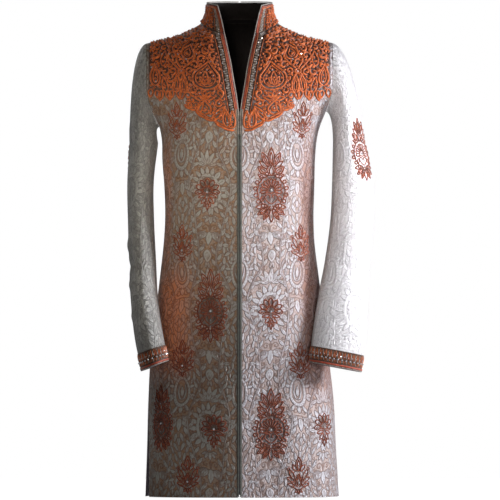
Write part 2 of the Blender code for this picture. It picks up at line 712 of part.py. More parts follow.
def applique(name, place, half_width, half_height, kind, rings, columns, base=APPLIQUE_BASE):
    """Plate with a buta's outline; place gives a panel's point and normal at a local offset."""
    verts, faces = [], []
    layers = []
    for layer in (0, 1):
        start = len(verts)
        layers.append(start)
        for ring in range(rings + 1):
            count = 1 if ring == 0 else columns
            for k in range(count):
                angle = 2 * pi * k / columns
                reach = outline_radius(kind, angle) * ring / rings
                a = half_width * reach * sin(angle)
                b = half_height * reach * cos(angle)
                point, normal = place(a, b)
                thick = APPLIQUE_EDGE if ring == rings else APPLIQUE_THICK
                verts.append(point + normal * (base + (thick if layer else 0)))

    def at(layer, ring, k):
        return layers[layer] + (0 if ring == 0 else 1 + (ring - 1) * columns + k % columns)

    for k in range(columns):
        faces.append((at(1, 0, 0), at(1, 1, k), at(1, 1, k + 1)))
        faces.append((at(0, 0, 0), at(0, 1, k + 1), at(0, 1, k)))
        for ring in range(1, rings):
            faces.append((at(1, ring, k), at(1, ring + 1, k), at(1, ring + 1, k + 1), at(1, ring, k + 1)))
            faces.append((at(0, ring, k), at(0, ring, k + 1), at(0, ring + 1, k + 1), at(0, ring + 1, k)))
        faces.append((at(1, rings, k), at(0, rings, k), at(0, rings, k + 1), at(1, rings, k + 1)))
    if volume(verts, faces) < 0:
        faces = [face[::-1] for face in faces]
    return make_object(name, verts, faces, EMBROIDERY)


def front_buta(buta):
    def place(a, b):
        u, h = panel_find(buta.side, "front", buta.s + a, buta.z + b)
        return front_surface(buta.side, u, h)

    by_underarm = buta.name.startswith("lily_chest")
    rings, columns = FACETS["lily_chest" if by_underarm else buta.kind]
    base = UNDERARM_BASE if by_underarm else APPLIQUE_BASE
    return applique(buta.name, place, buta.half_width, buta.half_height, buta.kind, rings, columns, base)


def sleeve_find(side, s, z):
    """Row and angle on a sleeve at distance s from its outer line towards the front, at height z."""
    low, high = 0.0, 2.0
    angles = np.radians(np.arange(-150, 151, 3))
    for _ in range(HALVINGS):
        t = (low + high) / 2
        ring = np.array([sleeve_point(side, t, a) for a in angles])
        length = np.concatenate([[0.0], np.cumsum(np.linalg.norm(np.diff(ring, axis=0), axis=1))])
        angle = np.interp(s, length - np.interp(0, angles, length), angles)
        if sleeve_point(side, t, angle)[2] > z:
            low = t
        else:
            high = t
    return t, angle


def sleeve_buta(name, side):
    def place(a, b):
        t, angle = sleeve_find(side, SLEEVE_BUTA["s"][side] + a, SLEEVE_BUTA["z"] + b)
        return sleeve_point(side, t, angle), sleeve_normal(side, t, angle)

    size = SLEEVE_BUTA["half_width"], SLEEVE_BUTA["half_height"]
    return applique(name, place, *size, "palmette", *FACETS["palmette"], base=UNDERARM_BASE)


def clear_scene():
    for obj in list(bpy.data.objects):
        bpy.data.objects.remove(obj)


def build():
    clear_scene()
    for side, word in ((-1, "left"), (1, "right")):
        panel("front_" + word, side, "front")
        panel("back_" + word, side, "back")
        sleeve(side, word)
        cuff("cuff_" + word, side)
        piping("piping_" + word, side)
        yoke("yoke_" + word, side)
        sleeve_buta("palmette_sleeve_" + word, side)
    collar("collar")
    for buta in BUTAS:
        front_buta(buta)


build()
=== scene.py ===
"""Sherwani coat: brocade, lining, corded embroidery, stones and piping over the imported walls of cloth."""
import math
from collections import namedtuple

import bpy
import numpy as np
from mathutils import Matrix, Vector


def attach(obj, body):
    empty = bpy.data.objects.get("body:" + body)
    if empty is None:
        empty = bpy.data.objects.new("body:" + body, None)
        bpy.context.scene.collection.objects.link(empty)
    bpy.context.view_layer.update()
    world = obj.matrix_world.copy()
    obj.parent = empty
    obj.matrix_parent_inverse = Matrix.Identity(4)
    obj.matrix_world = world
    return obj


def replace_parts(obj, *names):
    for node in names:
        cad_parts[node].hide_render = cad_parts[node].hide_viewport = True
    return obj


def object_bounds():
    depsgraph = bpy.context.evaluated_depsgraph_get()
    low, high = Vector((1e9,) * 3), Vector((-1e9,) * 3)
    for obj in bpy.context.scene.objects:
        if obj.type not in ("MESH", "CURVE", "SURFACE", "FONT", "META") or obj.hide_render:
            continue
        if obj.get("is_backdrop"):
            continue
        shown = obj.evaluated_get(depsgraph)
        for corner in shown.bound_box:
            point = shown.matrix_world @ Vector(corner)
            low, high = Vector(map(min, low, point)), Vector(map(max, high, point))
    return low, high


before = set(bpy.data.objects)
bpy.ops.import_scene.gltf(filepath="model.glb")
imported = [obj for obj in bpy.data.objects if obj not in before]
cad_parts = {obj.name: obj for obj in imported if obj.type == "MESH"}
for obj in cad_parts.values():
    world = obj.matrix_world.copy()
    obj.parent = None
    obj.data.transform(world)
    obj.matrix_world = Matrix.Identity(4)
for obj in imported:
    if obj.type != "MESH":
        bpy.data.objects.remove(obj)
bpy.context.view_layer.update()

PI = math.pi

# Shape of the walls, as the solids have it
HEM_Z = -1.069
SEAM = 0.0003
EDGE_X = 0.0036
SHOULDER_X = 0.212
V_BOTTOM_Z = -0.187
SECTION_FULLNESS = 0.64
SLIT_TOP_Z = -0.80
SLIT_CURVE = 0.6
SLIT_WIDTH = {("front", -1): 0.185, ("front", 1): 0.02, ("back", -1): 0.01, ("back", 1): 0.01}
COLLAR_BASE_GAP = 0.0006
CLOTH = 0.0018
CORNER_V = 0.70
COLLAR_CURVE = 0.004
COLLAR_FRONT_SHARE = 0.45

BodyRow = namedtuple("BodyRow", "z left right front back")
BODY = [
    BodyRow(HEM_Z, 0.2155, 0.2275, 0.150, 0.148),
    BodyRow(-0.960, 0.2115, 0.2205, 0.147, 0.146),
    BodyRow(-0.850, 0.2085, 0.2150, 0.143, 0.143),
    BodyRow(-0.760, 0.2040, 0.2050, 0.138, 0.137),
    BodyRow(-0.660, 0.1930, 0.1935, 0.132, 0.128),
    BodyRow(-0.560, 0.1810, 0.1800, 0.126, 0.115),
    BodyRow(-0.480, 0.1725, 0.1705, 0.121, 0.105),
    BodyRow(-0.430, 0.1700, 0.1690, 0.120, 0.102),
    BodyRow(-0.360, 0.1720, 0.1710, 0.124, 0.104),
    BodyRow(-0.300, 0.1765, 0.1725, 0.130, 0.110),
    BodyRow(-0.250, 0.1780, 0.1770, 0.135, 0.115),
    BodyRow(-0.225, 0.1830, 0.1830, 0.137, 0.117),
    BodyRow(-0.190, 0.1970, 0.1970, 0.135, 0.118),
]
Armhole = namedtuple("Armhole", "under_x under_z top_z bend_z")
ARMHOLE = {-1: Armhole(0.183, -0.225, -0.034, -0.135), 1: Armhole(0.197, -0.190, -0.033, -0.130)}
ARMHOLE_DEPTH = 0.066
ARMHOLE_CURVE = 1.6
V_EDGE = [(0.0035, -0.1340, V_BOTTOM_Z), (0.0125, -0.1270, -0.137), (0.0200, -0.1170, -0.089),
          (0.0285, -0.1030, -0.048), (0.0370, -0.0860, -0.0137)]
NECK_FRONT = [(0.0370, -0.0860, -0.0137), (0.0610, -0.0640, -0.0060), (0.0800, -0.0340, 0.0040),
              (0.0880, 0.0, 0.0120)]
NECK_BACK = [(0.0, 0.0720, 0.0220), (0.0300, 0.0690, 0.0218), (0.0580, 0.0560, 0.0205),
             (0.0800, 0.0300, 0.0170), (0.0880, 0.0, 0.0120)]
CENTRE_BACK = [(0.0, 0.1180, -0.190), (0.0, 0.1170, -0.140), (0.0, 0.1100, -0.080), (0.0, 0.0960, -0.030),
               (0.0, 0.0720, 0.0220)]
UPPER_FRONT = [(0.25, 1.00, 0.02, 0.00, 0.095, 0.45, 0.88, -0.05, 0.055),
               (0.50, 1.00, 0.00, -0.05, 0.080, 0.72, 0.68, -0.10, 0.048),
               (0.75, 0.95, -0.02, -0.25, 0.050, 0.90, 0.36, -0.20, 0.045),
               (1.00, 0.70, 0.00, -0.70, 0.035, 0.98, 0.00, -0.20, 0.050)]
UPPER_BACK = [(0.25, 1.00, 0.00, 0.00, 0.105, 0.45, -0.88, -0.05, 0.050),
              (0.50, 1.00, 0.00, 0.00, 0.090, 0.72, -0.68, -0.10, 0.046),
              (0.75, 0.98, 0.00, -0.20, 0.055, 0.90, -0.36, -0.20, 0.045),
              (1.00, 0.70, 0.00, -0.70, 0.035, 0.98, 0.00, -0.20, 0.050)]
# Rows of a sleeve below its cap: z, x, y, half width, half depth, tip outward, tip forward
SLEEVE = {
    -1: [(-0.262, 0.2185, 0.000, 0.0325, 0.0700, 0.00, 0.00),
        (-0.350, 0.2262, -0.004, 0.0303, 0.0690, 0.00, 0.00),
        (-0.440, 0.2250, -0.018, 0.0300, 0.0670, 0.00, 0.04),
        (-0.530, 0.2212, -0.045, 0.0308, 0.0640, 0.05, 0.06),
        (-0.620, 0.2166, -0.076, 0.0310, 0.0610, 0.15, 0.06),
        (-0.700, 0.2065, -0.112, 0.0315, 0.0575, 0.30, 0.04),
        (-0.7695, 0.1925, -0.142, 0.0302, 0.0550, 0.38, 0.02)],
    1: [(-0.262, 0.2508, 0.000, 0.0376, 0.0680, 0.00, 0.00),
        (-0.350, 0.2582, -0.004, 0.0468, 0.0620, 0.00, 0.00),
        (-0.440, 0.2565, -0.018, 0.0495, 0.0560, 0.00, 0.04),
        (-0.530, 0.2463, -0.042, 0.0513, 0.0480, 0.03, 0.06),
        (-0.620, 0.2359, -0.068, 0.0571, 0.0390, 0.10, 0.06),
        (-0.700, 0.2270, -0.094, 0.0600, 0.0330, 0.18, 0.05),
        (-0.7723, 0.2178, -0.114, 0.0585, 0.0300, 0.19, 0.03)],
}
CAP_LEAN = {-1: 1.0, 1: 0.6}
CAP_DROP = 0.06
CAP_PUFF = 0.010
CAP_ROUND = 1.04
SEAM_ANGLES = (PI * (1 - 0.22), PI * (1 + 0.22))
CUFF_HEIGHT = 0.037
COLLAR_TOP = [(0.0520, -0.0520, 0.0500), (0.0690, -0.0290, 0.0545), (0.0755, 0.0, 0.0570),
              (0.0660, 0.0330, 0.0590), (0.0400, 0.0560, 0.0600), (0.0, 0.0630, 0.0600)]
YOKE_EDGE = [(0.004, -0.236), (0.040, -0.228), (0.056, -0.213), (0.078, -0.208), (0.100, -0.190),
             (0.118, -0.180), (0.128, -0.160), (0.150, -0.160), (0.170, -0.165), (0.195, -0.160),
             (0.212, -0.148)]

# Butas: node, side, distance from the centre front, height of the middle, half width, half height, kind
BUTAS = [
    ("palmette_chest", 1, 0.073, -0.358, 0.043, 0.085, "palmette"),
    ("palmette_waist", -1, 0.066, -0.633, 0.040, 0.084, "palmette"),
    ("palmette_skirt", 1, 0.072, -0.903, 0.043, 0.082, "palmette"),
    ("palmette_side", -1, 0.192, -0.890, 0.036, 0.076, "palmette"),
    ("fan_chest", -1, 0.074, -0.378, 0.027, 0.038, "fan"),
    ("fan_waist", 1, 0.072, -0.650, 0.026, 0.038, "fan"),
    ("fan_skirt", -1, 0.058, -0.917, 0.028, 0.040, "fan"),
    ("fan_side", 1, 0.208, -0.914, 0.027, 0.040, "fan"),
    ("lily_chest_left", -1, 0.152, -0.212, 0.028, 0.042, "lily"),
    ("lily_chest_right", 1, 0.152, -0.210, 0.028, 0.042, "lily"),
    ("lily_waist_left", -1, 0.137, -0.490, 0.028, 0.042, "lily"),
    ("lily_waist_right", 1, 0.148, -0.490, 0.028, 0.042, "lily"),
    ("lily_hip_left", -1, 0.133, -0.752, 0.028, 0.042, "lily"),
    ("lily_hip_right", 1, 0.142, -0.757, 0.028, 0.042, "lily"),
    ("lily_hem_left", -1, 0.120, -1.016, 0.028, 0.042, "lily"),
    ("lily_hem_right", 1, 0.137, -1.018, 0.028, 0.042, "lily"),
]
SLEEVE_BUTA = {-1: (-0.045, -0.276, 0.036, 0.072), 1: (0.043, -0.276, 0.036, 0.072)}

# Damask lattice: width and height of a repeat, and where it starts
LATTICE_W = 0.136
LATTICE_H = 0.269
LATTICE_Z = -0.640
LATTICE_S = 0.070


def unit(v):
    v = np.asarray(v, float)
    return v / np.maximum(np.linalg.norm(v, axis=-1, keepdims=True), 1e-12)


def spline(xs, ys, x):
    xs, ys = np.asarray(xs, float), np.asarray(ys, float)
    slopes = np.gradient(ys, xs, axis=0)
    i = int(np.clip(np.searchsorted(xs, x) - 1, 0, len(xs) - 2))
    span = xs[i + 1] - xs[i]
    t = min(max((x - xs[i]) / span, 0.0), 1.0)
    first = (2 * t**3 - 3 * t**2 + 1) * ys[i] + (t**3 - 2 * t**2 + t) * span * slopes[i]
    return first + (3 * t**2 - 2 * t**3) * ys[i + 1] + (t**3 - t**2) * span * slopes[i + 1]


def run_of(points):
    """Length along a line of points up to each of them."""
    return np.concatenate([[0.0], np.cumsum(np.linalg.norm(np.diff(points, axis=0), axis=1))])


def along(points, share):
    points = np.asarray(points, float)
    length = run_of(points)
    return spline(length / length[-1], points, share)


def bezier(p0, p1, p2, p3, t):
    t = np.asarray(t, float)[:, None]
    return (1 - t) ** 3 * p0 + 3 * (1 - t) ** 2 * t * p1 + 3 * (1 - t) * t**2 * p2 + t**3 * p3


def body_size(side, z):
    half = 1 if side < 0 else 2
    return spline([row.z for row in BODY], [(row[half], row.front, row.back) for row in BODY], z)


def armhole_points(side, angles):
    hole = ARMHOLE[side]
    middle = (hole.top_z + hole.under_z) / 2
    z = middle + (hole.top_z - middle) * np.cos(angles)
    drop = np.maximum(0.0, (hole.bend_z - z) / (hole.bend_z - hole.under_z))
    x = SHOULDER_X + (hole.under_x - SHOULDER_X) * drop**ARMHOLE_CURVE
    return np.stack([x, -ARMHOLE_DEPTH * np.sin(angles), z], axis=-1)


def upper_ends(side, face, v):
    under_z = ARMHOLE[side].under_z
    if face == "front":
        first = (EDGE_X, -body_size(side, under_z)[1], under_z)
        edge = [first] + V_EDGE if under_z < V_BOTTOM_Z - 0.01 else V_EDGE
        neck = NECK_FRONT
        outer = armhole_points(side, np.array(PI * (1 - v)))
    else:
        first = (SEAM, body_size(side, under_z)[2], under_z)
        edge = [first] + [p for p in CENTRE_BACK if p[2] > under_z + 0.01]
        neck = NECK_BACK
        outer = armhole_points(side, np.array(PI * (1 + v)))
    inner = along(edge, v / CORNER_V) if v <= CORNER_V else along(neck, (v - CORNER_V) / (1 - CORNER_V))
    if v == 0:
        inner = np.array(first, float)
    inner[0] = max(inner[0], EDGE_X if face == "front" and v < CORNER_V else SEAM)
    return inner, outer


def row_curve(side, face, h):
    """Line across a panel: h 0 at the hem, 1 at the underarm, 2 at the shoulder seam. Built for +X."""
    t = np.linspace(0, 1, 121)
    sign = -1 if face == "front" else 1
    under_z = ARMHOLE[side].under_z
    if h <= 1:
        z = HEM_Z + (under_z - HEM_Z) * h
        half, front, back = body_size(side, z)
        depth = front if face == "front" else back
        p0 = np.array([EDGE_X if face == "front" else SEAM, sign * depth, z])
        p3 = np.array([half, sign * SEAM, z])
        p1 = p0 + np.array([SECTION_FULLNESS * half, 0, 0])
        p2 = p3 + np.array([0, sign * SECTION_FULLNESS * depth, 0])
        return bezier(p0, p1, p2, p3, t)
    v = h - 1
    inner, outer = upper_ends(side, face, v)
    half, front, back = body_size(side, under_z)
    depth = front if face == "front" else back
    underarm = (0.0, 1, 0, 0, SECTION_FULLNESS * half, 0, -sign, 0, SECTION_FULLNESS * depth)
    table = [underarm] + (UPPER_FRONT if face == "front" else UPPER_BACK)
    shape = spline([row[0] for row in table], [row[1:] for row in table], v)
    p1 = inner + unit(shape[0:3]) * shape[3]
    p2 = outer - unit(shape[4:7]) * shape[7]
    return bezier(inner, p1, p2, outer, t)


def slit_end(side, face, h):
    z = HEM_Z + (ARMHOLE[side].under_z - HEM_Z) * min(h, 1)
    if h >= 1 or z >= SLIT_TOP_Z:
        return 1.0
    return 1.0 - SLIT_WIDTH[(face, side)] * ((SLIT_TOP_Z - z) / (SLIT_TOP_Z - HEM_Z)) ** SLIT_CURVE


def normals_of(grid, outward):
    across = np.gradient(grid, axis=1)
    up = np.gradient(grid, axis=0)
    return unit(np.cross(across, up)) * outward


class Cloth:
    """A sewn piece as a fine grid of points with its cloth coordinates (across, up) in metres."""

    def __init__(self, grid, cloth, outward, rows):
        self.grid, self.cloth, self.outward, self.rows = grid, cloth, outward, rows
        self.normal = normals_of(grid, outward)

    def relief(self, height):
        self.grid = self.grid + self.normal * height[..., None]
        self.normal = normals_of(self.grid, self.outward)

    def look(self, i, j, what):
        """Bilinear value at float rows i and columns j."""
        n, m = what.shape[:2]
        i, j = np.clip(i, 0, n - 1.001), np.clip(j, 0, m - 1.001)
        a, b = i.astype(int), j.astype(int)
        p, q = i - a, j - b
        if what.ndim == 3:
            p, q = p[..., None], q[..., None]
        low = what[a, b] * (1 - q) + what[a, b + 1] * q
        high = what[a + 1, b] * (1 - q) + what[a + 1, b + 1] * q
        return low * (1 - p) + high * p

    def find(self, s, z):
        """Rows and columns of the points at distance s from the centre plane and height z."""
        s, z = np.asarray(s, float), np.asarray(z, float)
        low, high = np.zeros(s.shape), np.full(s.shape, self.grid.shape[0] - 1.0)
        last = self.grid.shape[1] - 1
        for _ in range(17):
            i = (low + high) / 2
            start = self.look(i, np.zeros(s.shape), self.cloth)[..., 0]
            end = self.look(i, np.full(s.shape, float(last)), self.cloth)[..., 0]
            j = (s - start) / (end - start) * last
            below = self.look(i, j, self.grid)[..., 2] < z
            low, high = np.where(below, i, low), np.where(below, high, i)
        return i, j

    def place(self, s, z):
        """Points and normals at distance s and height z."""
        i, j = self.find(s, z)
        return self.look(i, j, self.grid), unit(self.look(i, j, self.normal))

    def from_front(self, x, z, side):
        """Distance s of the points that the front view shows at x and z."""
        x, z = np.asarray(x, float), np.asarray(z, float)
        s = np.array(x)
        for _ in range(9):
            at = self.look(*self.find(s, z), self.grid)[..., 0] * side
            s = s + np.clip(x - at, -0.03, 0.03)
        return s


def panel_cloth(side, face, rows_low, rows_high, columns):
    """Grid of a front or back, evenly spaced rows from the hem to the shoulder seam."""
    hs = np.concatenate([np.linspace(0, 1, rows_low), 1 + np.linspace(0, 1, rows_high)[1:]])
    grid, cloth = [], []
    for h in hs:
        curve = row_curve(side, face, h)
        length = run_of(curve)
        s = np.linspace(0, slit_end(side, face, h), columns) * length[-1]
        points = np.stack([np.interp(s, length, curve[:, k]) for k in range(3)], axis=-1)
        cloth.append(np.stack([s + curve[0, 0], points[:, 2]], axis=-1))
        points[:, 0] *= side
        grid.append(points)
    outward = side if face == "front" else -side
    return Cloth(np.array(grid), np.array(cloth), outward, hs)


def sleeve_ring(side, t, angles):
    """Points round a sleeve: t 0 at the armhole, 1 at the cap's end, 2 at the cuff's edge."""
    rows = SLEEVE[side]

    def ring(z):
        flipped = rows[::-1]
        x, y, w, d, tip_out, tip_front = spline([r[0] for r in flipped], [r[1:] for r in flipped], z)
        dx, dy = w * np.cos(angles), -d * np.sin(angles)
        return np.stack([x + dx, y + dy, z - tip_out * dx - tip_front * dy], axis=-1)

    if t >= 1:
        points = ring(rows[0][0] + (rows[-1][0] - rows[0][0]) * (t - 1))
    else:
        start = armhole_points(side, angles)
        start[:, 0] += 2 * SEAM
        end = ring(rows[0][0])
        lean = CAP_LEAN[side] + (1 - CAP_LEAN[side]) * (1 - np.cos(angles)) / 2
        turn = np.stack([
            start[:, 0] + np.maximum(lean * (end[:, 0] - start[:, 0]), CAP_PUFF),
            (start[:, 1] + end[:, 1]) / 2 * CAP_ROUND,
            start[:, 2] + CAP_DROP * (end[:, 2] - start[:, 2]),
        ], axis=-1)
        points = (1 - t) ** 2 * start + 2 * (1 - t) * t * turn + t**2 * end
    points[:, 0] *= side
    return points


def sleeve_cloth(side, low, high, rows, columns):
    """Grid of a sleeve between two angles, cuff first; across is measured from the outer line."""
    cap = int(rows * 0.3)
    ts = np.concatenate([np.linspace(0, 1, cap), 1 + np.linspace(0, 1, rows - cap + 1)[1:]])[::-1]
    angles = np.linspace(low, high, columns)
    grid, cloth = [], []
    for t in ts:
        points = sleeve_ring(side, t, angles)
        length = run_of(points)
        zero = np.interp(2 * PI if high > 2 * PI else PI, angles, length)
        grid.append(points)
        cloth.append(np.stack([length - zero, points[:, 2]], axis=-1))
    return Cloth(np.array(grid), np.array(cloth), -side, ts)


def crease(cloth, fold):
    """Soft trough or ridge over the cloth: three places (s, z), a reach and a height, in millimetres."""
    *places, reach, height = np.array(fold) * 0.001
    path = np.reshape(places, (3, 2))
    s, z = cloth.cloth[..., 0], cloth.cloth[..., 1]
    best = np.full(s.shape, 1e9)
    taper = np.zeros(s.shape)
    steps = len(path) - 1
    for k in range(steps):
        (s0, z0), (s1, z1) = path[k], path[k + 1]
        ds, dz = s1 - s0, z1 - z0
        t = np.clip(((s - s0) * ds + (z - z0) * dz) / (ds * ds + dz * dz), 0, 1)
        d = np.hypot(s - s0 - t * ds, z - z0 - t * dz)
        nearer = d < best
        best = np.where(nearer, d, best)
        taper = np.where(nearer, np.sin(PI * (k + t) / steps) ** 0.6, taper)
    return height * taper * np.exp(-(best / reach) ** 2)


# Numbers of the embroidery's materials; the facets of stones stay flat
THREAD, EDGE, STONE, SILVER, STRIP, BOUND = range(6)


def mesh_from(name, verts, faces, materials, attributes, kinds=None):
    """Mesh that rides on the root, from a list of face tables and each face's material number."""
    sizes = np.concatenate([np.full(len(table), table.shape[1]) for table in faces])
    corners = np.concatenate([table.ravel() for table in faces])
    kinds = np.zeros(len(sizes)) if kinds is None else kinds
    mesh = bpy.data.meshes.new(name)
    mesh.vertices.add(len(verts))
    mesh.vertices.foreach_set("co", np.asarray(verts, np.float32).ravel())
    mesh.loops.add(len(corners))
    mesh.loops.foreach_set("vertex_index", corners.astype(np.int32))
    mesh.polygons.add(len(sizes))
    mesh.polygons.foreach_set("loop_start", (np.cumsum(sizes) - sizes).astype(np.int32))
    mesh.polygons.foreach_set("use_smooth", kinds != STONE)
    for material in materials:
        mesh.materials.append(material)
    mesh.polygons.foreach_set("material_index", kinds.astype(np.int32))
    for key, values in attributes.items():
        kind, field = ("FLOAT", "value") if values.ndim == 1 else ("FLOAT_VECTOR", "vector")
        layer = mesh.attributes.new(key, kind, "POINT")
        layer.data.foreach_set(field, values.astype(np.float32).ravel())
    mesh.update(calc_edges=True)
    mesh.validate()
    obj = bpy.data.objects.new(name, mesh)
    bpy.context.scene.collection.objects.link(obj)
    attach(obj, "root")
    return obj


def grid_quads(rows, columns, flip):
    i, j = np.meshgrid(np.arange(rows - 1), np.arange(columns - 1), indexing="ij")
    a = i * columns + j
    quads = np.stack([a, a + 1, a + columns + 1, a + columns], axis=-1).reshape(-1, 4)
    return quads[:, ::-1] if flip else quads


# Damask figure: signed distances in millimetres over half a repeat, mirrored at both of its sides
TILE_STEP = 0.5
FILL_LEAVES = 190             # at most so many small leaves fill what the figures leave open
LEAST_LEAF = 4.8
MOST_LEAF = 8.0
HALF_W = LATTICE_W * 500
FULL_H = LATTICE_H * 1000


class Figure:
    def __init__(self):
        a = np.arange(0, HALF_W + TILE_STEP, TILE_STEP)
        b = np.arange(0, FULL_H + TILE_STEP, TILE_STEP)
        self.a, self.b = np.meshgrid(a, b)
        self.line = np.full(self.a.shape, 9.0)
        self.fill = np.full(self.a.shape, 9.0)

    def local(self, x, z, turn):
        """Coordinates along and across a shape that starts at (x, z) and points turn degrees from up."""
        da = self.a - x
        db = (self.b - z + FULL_H / 2) % FULL_H - FULL_H / 2
        c, s = math.cos(math.radians(turn)), math.sin(math.radians(turn))
        return da * s + db * c, da * c - db * s

    def add(self, distance, line=0.55, vein=None):
        self.line = np.minimum(self.line, np.abs(distance) - line)
        self.fill = np.minimum(self.fill, distance)
        if vein is not None:
            self.line = np.minimum(self.line, vein)

    def leaf(self, x, z, turn, length, width, teeth=0, vein=True, line=0.55):
        p, q = self.local(x, z, turn)
        share = np.clip(p / length, 0, 1)
        half = width / 2 * np.sin(PI * share**0.8) ** 0.8
        if teeth:
            half = half * (0.82 + 0.18 * np.abs(np.sin(PI * teeth * share)))
        beyond = np.maximum(np.maximum(-p, p - length), 0)
        distance = np.hypot(np.maximum(np.abs(q) - half, 0), beyond)
        inside = (p > 0) & (p < length) & (np.abs(q) < half)
        distance = np.where(inside, np.abs(q) - half, distance)
        middle = np.hypot(q, np.maximum(np.maximum(length * 0.12 - p, p - length * 0.72), 0)) - 0.3
        self.add(distance, line, middle if vein else None)

    def oval(self, x, z, half_a, half_b, scallops=0, depth=0.0, line=0.55):
        p, q = self.local(x, z, 0)
        angle = np.arctan2(q, p)
        edge = 1 + depth * np.abs(np.sin(angle * scallops / 2)) if scallops else 1.0
        r = np.hypot(q / half_a, p / half_b) / edge
        self.add((r - 1) * min(half_a, half_b), line)

    def hole(self, x, z, half_a, half_b):
        """Ground shows again inside an oval."""
        p, q = self.local(x, z, 0)
        distance = (np.hypot(q / half_a, p / half_b) - 1) * min(half_a, half_b)
        self.fill = np.maximum(self.fill, -distance)

    def dots(self, x, z, half_a, half_b, count, size):
        for k in range(count):
            angle = math.radians(360 * k / (count - 1))
            p, q = self.local(x + half_a * math.sin(angle), z + half_b * math.cos(angle), 0)
            self.line = np.minimum(self.line, np.hypot(p, q) - size)

    def stroke(self, points, wide, thin=0.5, fill=False):
        """Scroll stem through the points, wide in its middle and thin at its ends."""
        count = len(points) - 1
        best = np.full(self.a.shape, 99.0)
        for k in range(count):
            (x0, z0), (x1, z1) = points[k], points[k + 1]
            da = self.a - x0
            db = (self.b - z0 + FULL_H / 2) % FULL_H - FULL_H / 2
            dx, dz = x1 - x0, z1 - z0
            t = np.clip((da * dx + db * dz) / (dx * dx + dz * dz), 0, 1)
            share = (k + t) / count
            d = np.hypot(da - t * dx, db - t * dz) - (thin + (wide - thin) * np.sin(PI * share))
            best = np.minimum(best, d)
        if fill:
            self.add(best, 0.5)
        else:
            self.line = np.minimum(self.line, best)

    def curl(self, x, z, size, turn, way, turns=1.2, wide=1.0):
        """Spiral scroll that opens from its eye at (x, z)."""
        angles = np.linspace(0, turns * 2 * PI, 16)
        r = size * (0.12 + 0.88 * angles / angles[-1])
        base = math.radians(turn)
        turned_by = base + way * angles
        self.stroke(np.stack([x + r * np.sin(turned_by), z + r * np.cos(turned_by)], axis=-1), wide, 0.7)


